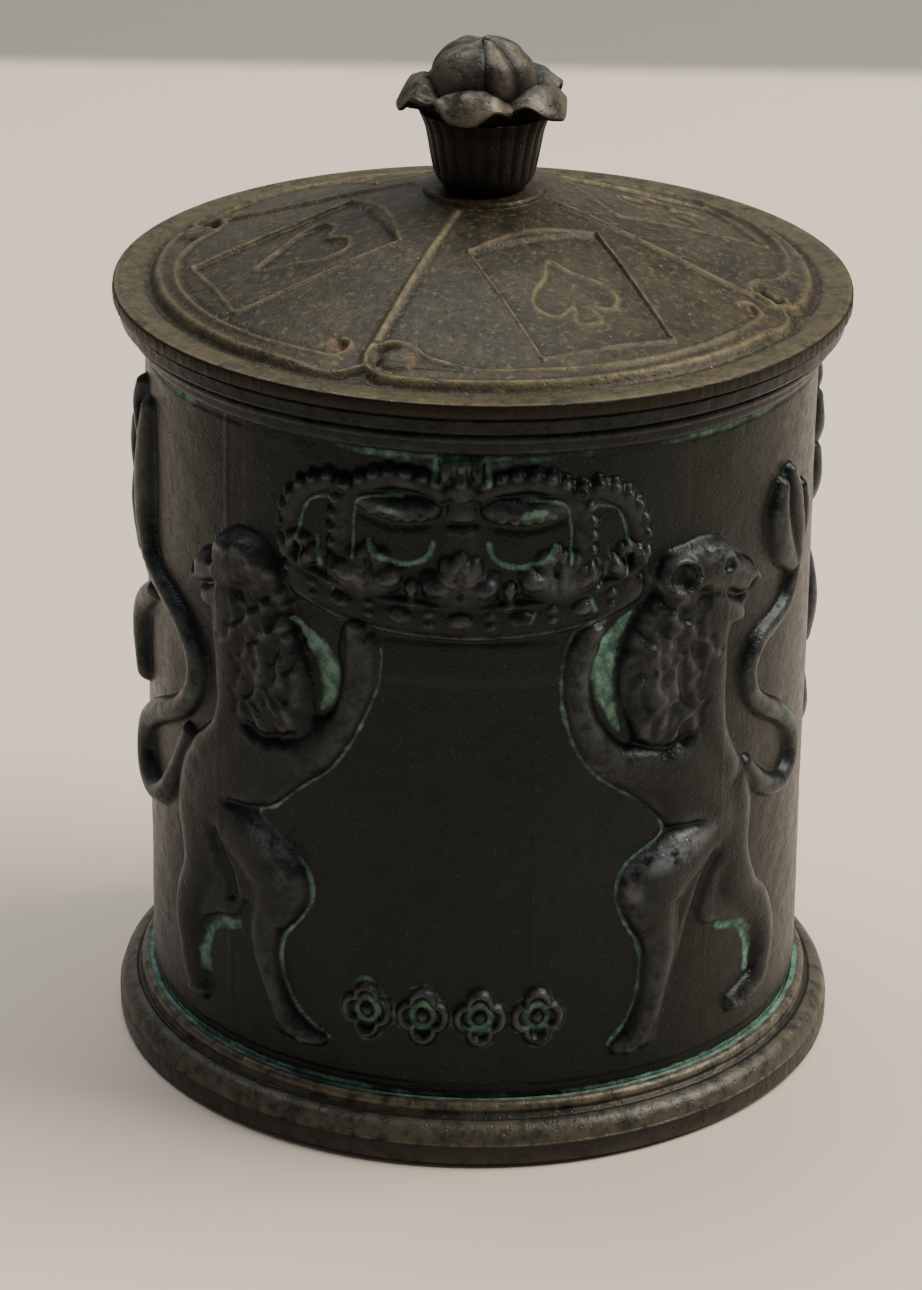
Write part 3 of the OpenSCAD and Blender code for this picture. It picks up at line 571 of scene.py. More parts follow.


def profile_lathe(name, profile, cols=360, wobble=0.0, seed=1, marks=None, step=0.25):
    """A turned closed ring from a profile of (radius, height, verdigris, wear and painted highlight) rows,
    resampled finely.
    Sharp corners keep a tight pair of points; wobble is a hand-finished unevenness."""
    p = np.array(profile, float)
    ring = np.concatenate([p, p[:1]])
    out = []
    for a, b in zip(ring[:-1], ring[1:]):
        n = max(1, int(math.ceil(np.hypot(*(b - a)[:2]) / step)))
        n = min(n, 60)
        inset = min(0.06 / max(np.hypot(*(b - a)[:2]), 1e-6), 0.4)
        ts = np.unique(np.concatenate([[0, inset], np.arange(1, n) / n, [1 - inset]]))
        ts = ts[(ts == 0) | ((ts >= inset) & (ts <= 1 - inset))]
        out.append(a + (b - a) * ts[:, None])
    rows = np.concatenate(out)
    smooth = (np.roll(rows, 1, 0) + 6 * rows + np.roll(rows, -1, 0)) / 8
    radius = np.repeat(smooth[:, :1], cols, 1)
    height = np.repeat(smooth[:, 1:2], cols, 1)
    if wobble:
        uneven = soft_noise((len(rows), cols), 6, cols / 40, seed)
        radius = radius + wobble * uneven
    if marks is not None:
        radius = radius + marks(smooth, cols)
    fields = {
        "verdigris": np.repeat(smooth[:, 2:3], cols, 1),
        "wear_and_highlight": np.repeat(smooth[:, 3:4], cols, 1),
    }
    # painted shade: the upright outside face is darkened through the side field
    if marks is not None:
        outside = smooth[:, :1] > smooth[:, 0].max() - 0.05
        fields["side"] = np.repeat(SIDE_PAINTED_SHADE * outside, cols, 1)
    return lathe(name, radius, height, fields)


def arc(cr, cz, r, a0, a1, n, green=0.0, wear_and_highlight=0.0):
    """Profile rows along an arc; angles in degrees."""
    return [(cr + r * math.cos(math.radians(a)), cz + r * math.sin(math.radians(a)), green, wear_and_highlight)
            for a in np.linspace(a0, a1, n + 1)]


def with_rows(field, values):
    """The field with one even row added for each value."""
    return np.concatenate([field] + [np.full((1, field.shape[1]), value) for value in values])


def strokes(cols, seed):
    """Random depth of upright file strokes, column by column."""
    rough = np.random.default_rng(seed).standard_normal(cols)
    return (rough + np.roll(rough, 1)) / 1.4


def dress(piece, body, slot, *nodes):
    """Gives a piece its material, the body it moves with and the CAD nodes it stands in for."""
    piece.data.materials.append(MATERIALS[slot])
    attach(piece, body)
    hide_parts(*nodes)


# ------------------------------------------------------------------ wall casting
def stamp(target, green, patch, u_grid, z_grid, centre, hand=1):
    """Adds a patch to the wall's fields, centred at distance centre round the wall."""
    u = (u_grid - centre + ROUND_WALL / 2) % ROUND_WALL - ROUND_WALL / 2
    u = u * hand
    p_u, p_z = patch.u[0], patch.z[:, 0]
    cols = np.where((u > p_u[0]) & (u < p_u[-1]))[0]
    rows = np.where((z_grid > p_z[0]) & (z_grid < p_z[-1]))[0]
    fi = (u[cols] - p_u[0]) / (p_u[1] - p_u[0])
    fj = (z_grid[rows] - p_z[0]) / (p_z[1] - p_z[0])
    i, j = np.minimum(fi.astype(int), len(p_u) - 2), np.minimum(fj.astype(int), len(p_z) - 2)
    a, b = (fi - i)[None, :], (fj - j)[:, None]

    def sampled(field):
        f = field[np.ix_(j, i)] * (1 - a) * (1 - b) + field[np.ix_(j, i + 1)] * a * (1 - b)
        return f + field[np.ix_(j + 1, i)] * (1 - a) * b + field[np.ix_(j + 1, i + 1)] * a * b

    where = np.ix_(rows, cols)
    target[where] = smooth_max(target[where], sampled(patch.h), 0.12)
    green[where] = np.maximum(green[where], sampled(patch.green))


# Places rubbed bright, which also serve as painted highlights where the relief's tops catch the light: u, z,
# half length, half width, direction (degrees), amount
RUBBED_AND_HIGHLIT = [
    (22, 33.9, 4.6, 1.2, 15, 1.6), (16.8, 30.8, 1.1, 2.4, 0, 0.8), (-22.8, 34.2, 3.4, 1.1, -36, 1.2),
    (-20.6, 30.6, 0.9, 1.8, 10, 0.5), (20.4, 64.3, 1.5, 0.45, -25, 1.6), (22.8, 65.2, 0.45, 1.3, 0, 1.3),
    (26.5, 67, 3.2, 1, -12, 0.7), (-26.1, 67, 3, 1.6, 6, 0.6), (12.6, 44.4, 2.2, 1.2, -35, 0.55),
    (19, 55, 1.5, 4.5, 10, 0.5), (-12.4, 66.6, 2.6, 1.3, 0, 0.75), (-1.8, 66.8, 2.4, 1.2, 0, 0.75),
    (8.6, 67, 2.6, 1.3, 0, 0.75), (7, 74, 2.4, 0.9, 0, 0.7), (-9, 74, 2.4, 0.8, 0, 0.55),
    (-1.8, 79.4, 2.2, 1, 0, 0.7), (31, 46, 0.9, 3, 0, 0.4), (41, 44.6, 2.6, 1, -30, 0.4),
]


def build_wall():
    """The case's cast wall with both groups of relief, as one closed shell."""
    cols = 1040
    u = (np.arange(cols) / cols - 0.5) * ROUND_WALL
    z = np.arange(WALL_Z0 + 0.02, WALL_Z1 - 0.02, WALL_STEP)
    h = np.zeros((len(z), cols))
    green = np.zeros_like(h)
    half = ROUND_WALL / 2
    right, left, crown = lion_patch(LION_RIGHT), lion_patch(LION_LEFT), crown_patch()
    crown.z += CROWN_Z
    for centre in (0.0, half):
        stamp(h, green, crown, u, z, centre + CROWN_U)
        stamp(h, green, right, u, z, centre)
        stamp(h, green, left, u, z, centre, -1)
        # faint ribbon under the crown, between the raised paws
        off = (u - centre + half) % (2 * half) - half
        ribbon = unit(1 - (abs(z - 57.4) / 2.7) ** 6)[:, None] * unit(1 - (abs(off + 1.2) / 11.0) ** 8)
        h = np.maximum(h, 0.3 * ribbon)
    stamp(h, green, rosette_patch(), u, z, 0.0)
    # casting unevenness, and the mould's seam lines through the lions
    h += 0.045 * soft_noise(h.shape, 18, 22, 7) + 0.018 * soft_noise(h.shape, 4, 4, 8)
    for seam in (27.6, -29.4, half + 28.0, half - 28.6):
        off = (u - seam + half) % (2 * half) - half
        h += 0.08 * bell(off, 0.3)[None, :] * unit(0.4 + 0.6 * soft_noise(h.shape, 40, 3, 9))
    lift = blur(h, 3.2, 3.2)
    hollow = unit((lift - h) / 0.35)
    high = 0.42 * unit((h - lift) / 0.3) * unit(h / 0.8)
    # places rubbed bright, also painted highlights: the thighs' tops, the crown's leaves, the right lion's
    # ear and brow
    for at_u, at_z, length, width, turn, amount in RUBBED_AND_HIGHLIT:
        x, y = turned(u[None, :] - at_u, z[:, None] - at_z, turn)
        near = np.exp(-((x / length) ** 2 + (y / width) ** 2))
        high = np.maximum(high, amount * near * unit(h / 0.6))
    foot_crevice = bell(z - WALL_Z0 - 0.5, 0.42)[:, None]
    rim_crevice = bell(z - COLLAR_Z0 + 0.35, 0.55)[:, None]
    front_ring = unit(0.55 + 0.3 * soft_noise(h.shape, 40, 30, 11))
    green = np.maximum(green, 0.35 * hollow)
    green = np.maximum(green, 0.9 * foot_crevice * unit(front_ring + 0.35))
    green = np.maximum(green, 0.75 * rim_crevice * front_ring)
    guard = unit((z - WALL_Z0) / 0.6)[:, None] * unit((COLLAR_Z0 + 0.2 - z) / 0.5)[:, None]
    outer = WALL_R + h * guard
    outer[0], outer[-1] = WALL_R, WALL_R
    inner = [(REBATE_R, WALL_Z1 - 0.03), (REBATE_R, (WALL_Z1 + LEDGE_Z) / 2), (REBATE_R, LEDGE_Z + 0.02),
             (REBATE_R - 0.05, LEDGE_Z),
             (BORE_R + 0.05, LEDGE_Z), (BORE_R, LEDGE_Z - 0.1)]
    inner += [(BORE_R, zz) for zz in np.linspace(LEDGE_Z - 4, WALL_Z0 + 0.1, 16)]
    radius = with_rows(outer, [r for r, _ in inner])
    height = with_rows(np.repeat(z[:, None], cols, 1), [zz for _, zz in inner])
    plain = [0.0] * len(inner)
    fields = {"verdigris": with_rows(green, plain), "wear_and_highlight": with_rows(high, plain)}
    wall = lathe("case_wall", radius, height, fields)
    dress(wall, "case", "case_bronze", "wall_casting", "front_crown", "front_lion_left", "front_lion_right",
          "front_rosettes", "back_crown", "back_lion_left", "back_lion_right")


# ------------------------------------------------------------------ foot and collar
def file_marks(z_low, z_high, depth, seed):
    """Upright file strokes on a turned edge, between two heights on its outside."""
    def marks(rows, cols):
        on = unit((rows[:, 1] - z_low) / 0.15) * unit((z_high - rows[:, 1]) / 0.15)
        on = on * (rows[:, 0] > 38.5)
        return depth * on[:, None] * strokes(cols, seed)[None, :]
    return marks


def build_foot():
    r = FOOT_R
    spigot = BORE_R - 0.05
    # the wear column brightens the bead by the wall and the edge above the upright side: rubbed metal, and
    # also painted highlight
    profile = (
        [(r - 0.25, FOOT_Z0, 0, 0.1), (r, FOOT_Z0 + 0.25, 0.0, 0.3), (r, 2.55, 0.15, 0.0),
         (r - 0.12, 2.75, 0.1, 1.0)]
        + arc(r - 2.15, 2.85, 1.95, 0, 84, 12, 0.05, 0.55)
        + [(r - 2.25, 4.62, 0.12, 0.0), (r - 2.5, 4.66, 0.25, 0.0)]
        + arc(WALL_R + 0.75, 5.70, 0.70, -50, 78, 8, 0.05, 0.9)
        + [(WALL_R + 0.42, 6.42, 0.9, 0.0), (WALL_R + 0.06, 6.38, 1.0, 0.0), (WALL_R + 0.04, 6.0, 1.0, 0.0),
           (spigot, 6.0, 0, 0), (spigot, 8.0, 0, 0),
           (spigot - 1.2, 8.0, 0, 0), (spigot - 2.2, 4.0, 0, 0), (0.4, 4.0, 0, 0),
           (0.4, FOOT_Z0 + 0.8, 0, 0), (38.0, FOOT_Z0 + 0.8, 0, 0), (38.0, FOOT_Z0, 0, 0)]
    )
    foot = profile_lathe("case_foot", profile, 760, 0.03, 21, file_marks(0.6, 2.6, 0.018, 22), 0.3)
    dress(foot, "case", "foot_bronze", "foot")


def build_collar():
    z0, z1 = COLLAR_Z0, COLLAR_Z1
    seal_r = REBATE_R + 1.55
    profile = (
        [(WALL_R + 0.02, z0, 0.8, 0)]
        + arc(WALL_R + 0.05, z0 + 0.85, 0.85, -78, -10, 6, 0.3, 0.1)
        + [(WALL_R + 0.92, z0 + 1.45, 0.2, 0.05), (WALL_R + 1.05, z0 + 1.55, 0.5, 0)]
        + arc(WALL_R + 1.2, z0 + 2.15, 0.6, -88, 80, 8, 0.05, 0.15)
        + [(WALL_R + 1.5, z0 + 2.78, 0.35, 0), (WALL_R + 1.75, z0 + 2.9, 0.25, 0.0),
           (WALL_R + 2.5, z0 + 3.05, 0.05, 0.1),
           (COLLAR_R, z0 + 3.35, 0.05, 0.1), (COLLAR_R, z1 - 0.25, 0.05, 0.1), (COLLAR_R - 0.2, z1, 0, 0.3),
           (seal_r, z1, 0, 0), (seal_r, z1 - 0.8, 0, 0), (REBATE_R, z1 - 0.8, 0, 0),
           (REBATE_R, WALL_Z1, 0, 0), (WALL_R + 0.02, WALL_Z1, 0, 0)]
    )
    collar = profile_lathe("case_collar", profile, 720, 0.02, 31, file_marks(z0 + 3.4, z1 - 0.2, 0.014, 32),
                           0.25)
    dress(collar, "case", "case_bronze", "rim_collar")


# ------------------------------------------------------------------ lid
SECTOR_START = -20.8
CARD_IN, CARD_OUT, CARD_HALF = 12.3, 30.6, 7.5
RIM_LINE_R = 35.2


def dome_z(r):
    t = unit((r - BOSS_R) / (DOME_R - BOSS_R))
    return RIM_Z + DOME_H * (1 - t ** 1.15)


def polar(az, r):
    a = math.radians(az)
    return (r * math.sin(a), -r * math.cos(a))


HEART = [(0, 3.6), (2, 5.2), (4.2, 4.2), (4.2, 1.6), (2.4, -1.4), (0, -5.2), (-2.4, -1.4), (-4.2, 1.6),
         (-4.2, 4.2), (-2, 5.2)]
SPADE = [(0, 5.4), (1.6, 2.8), (4, 0.4), (4.6, -2), (3, -3.8), (0.8, -2.8), (1.4, -5.4), (-1.4, -5.4),
         (-0.8, -2.8), (-3, -3.8), (-4.6, -2), (-4, 0.4), (-1.6, 2.8)]
DIAMOND = [(0, 5.4), (1.9, 2.6), (3.9, 0), (1.9, -2.6), (0, -5.4), (-1.9, -2.6), (-3.9, 0), (-1.9, 2.6)]
CLUB = [(0, 5.2), (2.2, 4), (1.8, 1.4), (4.2, 1), (4.6, -1.6), (2.6, -3), (0.7, -1.8), (1.3, -5.2),
        (-1.3, -5.2),
        (-0.7, -1.8), (-2.6, -3), (-4.6, -1.6), (-4.2, 1), (-1.8, 1.4), (-2.2, 4)]


class LidField(Patch):
    """Fields over the lid; u and z are the plan coordinates x and y of a polar grid."""

    def __init__(self, radii, cols):
        a = angles(cols)
        self.r, self.a = np.meshgrid(radii, a, indexing="ij")
        self.u, self.z = self.r * np.sin(self.a), -self.r * np.cos(self.a)
        self.h = np.zeros_like(self.u)
        self.green = np.zeros_like(self.u)
        self.wear_and_highlight = np.zeros_like(self.u)
        self.copper = np.zeros_like(self.u)

    def line(self, points, width=0.42, height=0.34, steps=6, loop=False, straight=False):
        path = np.array(points, float) if straight else spline(points, steps, loop)
        if loop:
            path = np.concatenate([path, path[:1]])
        d, _ = self.distance(path)
        profile = bell(d, width)
        self.h += height * profile
        self.wear_and_highlight = np.maximum(self.wear_and_highlight, profile)


# A sector's border, from the comma scroll at its start to the hook at its end, in rows of degrees into the
# sector and radius
BORDER = [(2.6, 34.2), (-0.2, 33.2), (-0.6, 31.4), (2.4, 29.9), (7.4, 30.1), (11.5, 31.7), (21, 33.0),
          (36, 33.5),
          (51, 33.6), (66, 33.5), (78, 33.3), (83.4, 33.0), (85.2, 31.9), (84.8, 30.7), (82.8, 30.4)]


def lid_relief(radii, cols):
    f = LidField(radii, cols)
    suits = ((SPADE, 1.0), (CLUB, 0.0), (DIAMOND, 0.0), (HEART, -3.0))
    for k, (suit, lean) in enumerate(suits):
        start = SECTOR_START + 90 * k
        rib = [polar(start - 0.6, 7.6), polar(start - 1.0, 20.0), polar(start - 0.4, 32.6)]
        f.line(rib, 0.38, 0.34, 4)
        f.groove([polar(start + 1.9, 12.0), polar(start + 0.6, 32.0)], 0.5, 0.12)
        # convex band between the border and the line round the lid
        d, along = f.distance(spline([polar(start + a, 34.1) for a in np.linspace(4, 84, 15)], 4, False))
        f.h += 0.3 * unit(1 - (d / 1.0) ** 2) ** 0.5
        f.line([polar(start + a, r) for a, r in BORDER], 0.33, 0.36, 4)
        f.groove([polar(start + a, r - 0.75) for a, r in BORDER[4:12]], 0.4, 0.12)
        # comma: a lump with a deep crescent beside it
        x, y = polar(start + 5.4, 32.3)
        d = np.hypot(f.u - x, f.z - y)
        f.h += 0.6 * unit(1 - (d / 2.1) ** 2) ** 0.5
        f.copper = np.maximum(f.copper, bell(d, 1.5) * (1.0 if k == 0 else 0.35))
        f.groove([polar(start + 2.2, 33.5), polar(start + 1.2, 32.2), polar(start + 2.6, 31.0),
                  polar(start + 5.2, 30.6)], 0.5, 0.55)
        x, y = polar(start + 80.5, 31.6)
        d = np.hypot(f.u - x, f.z - y)
        f.copper = np.maximum(f.copper, bell(d, 2.4) * (0.7 if k == 3 else 0.2))
        f.groove([polar(start + 84.2, 32.0), polar(start + 82.8, 31.2)], 0.5, 0.4)
        # the card: a thin raised outline with a sunken field, bowed at its top
        a = math.radians(start + 45 + lean)
        out, side = np.array([math.sin(a), -math.cos(a)]), np.array([math.cos(a), math.sin(a)])
        middle, half = (CARD_IN + CARD_OUT) / 2, (CARD_OUT - CARD_IN) / 2

        def place(x, y):
            return tuple(out * (middle - y) + side * x)

        corners = [(-CARD_HALF, half), (-CARD_HALF, -half), (CARD_HALF, -half), (CARD_HALF, half)]
        for p, q in zip(corners[:-1], corners[1:]):
            f.line([place(*p), place(*q)], 0.24, 0.24, 1, straight=True)
        f.line([place(-CARD_HALF, half), place(0, half + 1.1), place(CARD_HALF, half)], 0.24, 0.2)
        card = f.inside(np.array([place(x, y) for x, y in corners]))
        f.h -= 0.3 * unit(card / 0.35)
        outline = [place(-x, 0.3 + 0.95 * y) for x, y in suit]
        f.line(outline, 0.25, 0.13 if k == 0 else 0.22, 5, True)
        sign = f.inside(spline(outline, 5))
        f.h -= (0.06 if k == 0 else 0.22) * unit(sign / 0.45)
    # line round the whole lid, which dips inwards at each rib
    into = (np.degrees(f.a) - SECTOR_START) % 90
    to_rib = np.minimum(into, 90 - into)
    line_r = RIM_LINE_R + 0.45 * bell(into - 83.5, 4.0) - 1.2 * bell(to_rib, 2.4)
    profile = bell(f.r - line_r, 0.4)
    f.h += 0.5 * profile
    f.wear_and_highlight = np.maximum(f.wear_and_highlight, profile)
    f.h -= 0.3 * bell(f.r - line_r - 0.95, 0.4)
    f.h += 0.12 * bell(f.r - 38.9, 0.5)
    return f


def build_lid():
    cols = 1080
    top_r = np.concatenate([[BOSS_R + 0.02, BOSS_R + 0.12], np.arange(BOSS_R + 0.3, LID_R - 0.55, 0.24),
                            [LID_R - 0.4, LID_R - 0.25]])[::-1]
    f = lid_relief(top_r, cols)
    f.h += 0.05 * soft_noise(f.h.shape, 9, 30, 41) + 0.012 * soft_noise(f.h.shape, 2.5, 4, 42)
    fade = unit((f.r - BOSS_R) / 1.2) * unit((LID_R - 0.3 - f.r) / 0.8)
    top_z = dome_z(f.r) + f.h * fade
    top_z = np.minimum(top_z, BOSS_Z - 0.05)
    under_r = REBATE_R - 1.85      # just inside the locating ring
    stud_r = 2.05
    edge = [(LID_R - 0.25, LID_Z0), (LID_R, LID_Z0 + 0.22), (LID_R, LID_Z0 + 0.8), (LID_R, RIM_Z - 0.3),
            (LID_R - 0.1, RIM_Z - 0.1)]
    boss = [(BOSS_R, BOSS_Z - 0.5), (BOSS_R - 0.1, BOSS_Z - 0.1), (BOSS_R - 0.3, BOSS_Z),
            (5.4, BOSS_Z - 0.02), (4.6, BOSS_Z - 0.1),
            (stud_r, BOSS_Z - 0.1)]
    under = [(stud_r, BOSS_Z - 3.0), (BOSS_R, BOSS_Z - 3.0)]
    under += [(r, dome_z(np.array(r)) - 2.4) for r in np.linspace(BOSS_R + 1, under_r - 0.6, 24)]
    under += [(under_r, LID_Z0)]

    def rows_of(pairs):
        return (np.repeat(np.array([p[0] for p in pairs])[:, None], cols, 1),
                np.repeat(np.array([float(p[1]) for p in pairs])[:, None], cols, 1))

    (er, ez), (br, bz), (ur, uz) = rows_of(edge), rows_of(boss), rows_of(under)
    er[1:4] += 0.022 * strokes(cols, 43)[None, :] - 0.03
    radius = np.concatenate([er, f.r, br, ur])
    height = np.concatenate([ez, top_z, bz, uz])
    lift = blur(f.h, 3, 4)
    hollow = unit((lift - f.h) / 0.16)

    def field(edge_value, top, boss_value=0.0, under_value=0.0):
        return np.concatenate([0 * er + edge_value, top, 0 * br + boss_value, 0 * ur + under_value])

    wear_and_highlight = field(0.0, unit(f.wear_and_highlight))
    top_rows = slice(len(er), len(er) + len(f.r))
    wear_and_highlight[top_rows] = np.maximum(wear_and_highlight[top_rows], 0.45 * unit((f.r - 36.4) / 0.8))
    wear_and_highlight[len(er):len(er) + 2] = 0.85
    fields = {
        "verdigris": field(0.0, 0.22 * hollow, 0.1),
        "wear_and_highlight": wear_and_highlight,
        "copper": field(0.0, f.copper),
        # the upright edge and the boss are darkened by fixed amounts here too, 0.3 and 0.2, though they are
        # not hollows
        "hollow": field(0.3, hollow, 0.2),
        # painted shade on the upright edge and the underside
        "side": field(1.0, 0 * f.h, 0.0, 1.0),
    }
    lid = lathe("lid_casting", radius, height, fields)
    dress(lid, "lid", "lid_bronze", "lid", "lid_ribs", "lid_cards", "lid_scrolls")


# ------------------------------------------------------------------ knob
def build_knob_cup():
    cols, flutes = 720, 24
    z0 = CUP_LOW[2]
    profile = spline([(4.1, z0), (4.5, z0 + 0.3), (5.05, z0 + 0.95), (5.5, z0 + 1.9), (5.85, z0 + 3.5),
                      (6.15, z0 + 5.2),
                      (6.45, z0 + 6.7), (6.85, z0 + 7.8), (7.2, z0 + 8.55)], 8, False)
    a = np.arange(cols) / cols * 2 * math.pi
    level = unit((profile[:, 1] - z0 - 1.2) / 1.2)
    ribs = np.abs(np.sin(a * flutes / 2)) ** 0.8
    radius = profile[:, :1] - 0.2 * level[:, None] * (1 - ribs)[None, :]
    height = np.repeat(profile[:, 1:2], cols, 1)
    inner = [(5.2, z0 + 8.5), (2.0, z0 + 7.8), (2.0, z0 + 3.0), (2.0, z0)]
    radius, height = with_rows(radius, [r for r, _ in inner]), with_rows(height, [z for _, z in inner])
    green = np.zeros_like(radius)
    green[:len(profile)] = 0.25 * level[:, None] * (1 - ribs)[None, :]
    wear_and_highlight = np.zeros_like(radius)
    wear_and_highlight[:len(profile)] = 0.12 * level[:, None] * ribs[None, :] ** 4
    cup = lathe("knob_fluted_cup", radius, height, {"verdigris": green, "wear_and_highlight": wear_and_highlight})
    dress(cup, "lid", "knob_bronze", "knob_cup")


PETAL_TURN = -13.0
BUD_CREASES = (3.0, 42.0, 105.0, 178.0, 268.0)     # azimuths of the creases between the bud's lobes
BUD_SHIFT = -0.4                                   # the bud sits a little off the knob's middle


def build_petals():
    """The ring of five thick petals that spreads from the cup, bulges and curls over at its wavy lip."""
    cols = 720
    z0 = CUP_LOW[2]
    a = angles(cols) - math.radians(PETAL_TURN)
    lobe = np.abs(np.cos(2.5 * a)) ** 0.8
    uneven = 0.16 * np.sin(3 * a + 1.1) + 0.12 * np.sin(7 * a + 0.4)
    edge = 7.5 + 1.85 * lobe + 0.25 * np.abs(np.cos(2.5 * a)) ** 9 + 0.35 * uneven
    lip = (10.1 - 0.75 * np.cos(5 * a) - 0.3 * np.cos(10 * a + 0.6) + 0.22 * np.cos(15 * a + 1.0)
           + 0.9 * uneven)
    crest = 10.9 + 2.0 * lobe + 0.6 * uneven
    s = np.linspace(0, 1, 40)[:, None]
    radius = 5.2 + (edge - 5.2) * s ** 0.9
    pucker = 0.06 * np.cos(25 * a + 5 * s) * np.sin(math.pi * s)
    height = lip + (crest - lip) * (1 - s ** 2.6) - 1.3 * (1 - s) ** 3 + pucker
    height = height + 0.07 * soft_noise((40, cols), 3, 9, 61)
    under = [(edge - 0.02, lip - 0.22), (edge - 0.14, lip - 0.42), (edge - 0.4, lip - 0.4),
             (edge - 0.85, lip - 0.05),
             (np.maximum(edge - 1.3, 6.9), lip - 0.2), (0 * a + 6.7, 0 * a + 8.6), (0 * a + 5.4, 0 * a + 8.6)]
    radius = np.concatenate([radius] + [r[None, :] for r, _ in under])[::-1]
    height = np.concatenate([height] + [z[None, :] for _, z in under])[::-1] + z0
    wear_and_highlight = np.concatenate([unit(s * 1.6 - 0.3) * (0.45 + 0.55 * lobe), np.zeros((len(under), cols))])[::-1]
    petals = lathe("knob_petal_ring", radius, height, {"verdigris": 0 * wear_and_highlight, "wear_and_highlight": wear_and_highlight})
    dress(petals, "lid", "knob_bronze", "knob_petals")


def build_bud():
    """The closed bud: a dome of five unequal swelling lobes that meet at the top."""
    rows, cols = 90, 480
    z_low, z_top = BUD_LOW[2], BUD_HIGH[2]
    t = np.linspace(0.0, 1.0, rows)
    profile = spline([(5.2, 0.0), (5.7, 0.14), (5.98, 0.34), (5.85, 0.54), (5.35, 0.70), (4.5, 0.83),
                      (3.4, 0.925), (2.1, 0.98), (0.9, 1.0), (0.05, 0.985)], 8, False)
    along = np.linspace(0, 1, len(profile))
    body_r, body_z = np.interp(t, along, profile[:, 0]), np.interp(t, along, profile[:, 1])
    a = np.degrees(angles(cols)) % 360
    edges = np.array(sorted(c % 360 for c in BUD_CREASES))
    edges = np.concatenate([edges[-1:] - 360, edges, edges[:1] + 360])
    at = np.searchsorted(edges, a, side="right")
    span = edges[at] - edges[at - 1]
    inside = (a - edges[at - 1]) / span
    swell = np.sin(math.pi * inside) ** 0.85
    deep = 0.085 * np.sin(unit(t * 0.95 + 0.05) * math.pi) ** 0.6 + 0.02
    radius = body_r[:, None] * (1 - deep[:, None] * (1 - swell)[None, :])
    rise = 0.32 * np.cos(np.radians(a - 80))
    dip = 0.35 * (1 - swell)[None, :] * unit(t * 2 - 0.9)[:, None] ** 0.5
    height = z_low + (z_top - z_low - 0.3) * body_z[:, None] - dip
    height = height + (rise[None, :] * unit(t * 1.6 - 0.5)[:, None] * unit(radius / 2.0))
    height = height + 0.09 * soft_noise((rows, cols), 5, 12, 71)
    height = np.minimum(height, z_top)
    radius[-1] = 0.05
    height[-1] = height[-2].mean()
    radius = np.concatenate([np.full((1, cols), 0.3), radius])
    height = np.concatenate([np.full((1, cols), z_low), height])
    # the lobes are lighter towards their middles: rubbed metal and painted highlight
    wear_and_highlight = np.concatenate([np.zeros((1, cols)), swell[None, :] ** 1.5 * unit(t * 1.5)[:, None]])
    bud = lathe("knob_closed_bud", radius, height, {"verdigris": 0 * wear_and_highlight, "wear_and_highlight": wear_and_highlight})
    bud.data.transform(Matrix.Translation((BUD_SHIFT * MM, 0, 0)))
    dress(bud, "lid", "knob_bronze", "knob_bud")


# ------------------------------------------------------------------ inside pieces
def build_ink_pot():
    top, low = POT_HIGH[2], POT_LOW[2]
    flange_r, body_r, wall = POT_HIGH[0], 26.0, 3.0
    mouth, seat_r = body_r - wall, body_r
    under = top - 3.0
    profile = ([(0.4, low + 0.8, 0, 0), (body_r - 9, low + 0.8, 0, 0), (body_r - 8, low, 0, 0),
                (body_r - 4.5, low, 0, 0)]
               + arc(body_r - 4, low + 4, 4, -84, 0, 8)
               + [(body_r, under - 2, 0, 0), (body_r + 0.4, under - 0.7, 0, 0), (body_r + 1.4, under, 0, 0),
                  (flange_r - 0.3, under, 0, 0)]
               + arc(flange_r - 0.6, under + 0.6, 0.6, -60, 0, 4) + arc(flange_r - 0.8, top - 0.8, 0.8, 0, 84,
                                                                        5)
               + [(seat_r + 0.5, top, 0, 0), (seat_r, top - 0.4, 0, 0), (seat_r, top - 1.5, 0, 0),
                  (mouth + 0.3, top - 1.5, 0, 0), (mouth, top - 1.9, 0, 0)]
               + arc(mouth - 4, low + 7, 4, 0, -86, 8) + [(0.4, low + 3, 0, 0)])
    pot = profile_lathe("stoneware_pot", profile, 240, 0.03, 51)
    dress(pot, "pot", "glaze", "ink_pot")


def build_funnel():
    top, low = FUNNEL_HIGH[2], FUNNEL_LOW[2]
    rim, hole, wall = FUNNEL_HIGH[0], 5.0, 1.7
    seat = top - 1.5
    profile = (arc(rim - 0.5, seat + 0.5, 0.5, -80, 0, 4) + arc(rim - 0.6, top - 0.6, 0.6, 0, 84, 4)
               + [(rim - 4.0, top, 0, 0), (rim - 5.2, top - 0.5, 0, 0), (hole + 5.2, top - 6.8, 0, 0),
                  (hole + 1.2, low + 4, 0, 0), (hole, low + 0.5, 0, 0)]
               + [(hole + 0.5, low, 0, 0), (hole + wall - 0.3, low, 0, 0), (hole + wall, low + 0.4, 0, 0),
                  (hole + wall + 0.9, low + 3.6, 0, 0),
                  (hole + wall + 5.0, top - 8.6, 0, 0), (rim - 3.6, seat - 0.9, 0, 0),
                  (rim - 3.4, seat, 0, 0)])
    funnel = profile_lathe("stoneware_funnel", profile, 200, 0.02, 52)
    dress(funnel, "funnel", "glaze", "dip_funnel")


def dress_cad_nodes():
    """CAD nodes whose shape is right keep it and get a better material."""
    slots = {"felt_pad": "felt", "foot_screws": "screw_steel", "pot_gasket": "cork", "lid_seal": "leather",
             "lid_locating_ring": "lid_bronze", "knob_stud": "screw_steel", "knob_washer": "screw_steel",
             "knob_nut": "screw_steel"}
    for node, slot in slots.items():
        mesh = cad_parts[node].data
        mesh.materials.clear()
        mesh.materials.append(MATERIALS[slot])


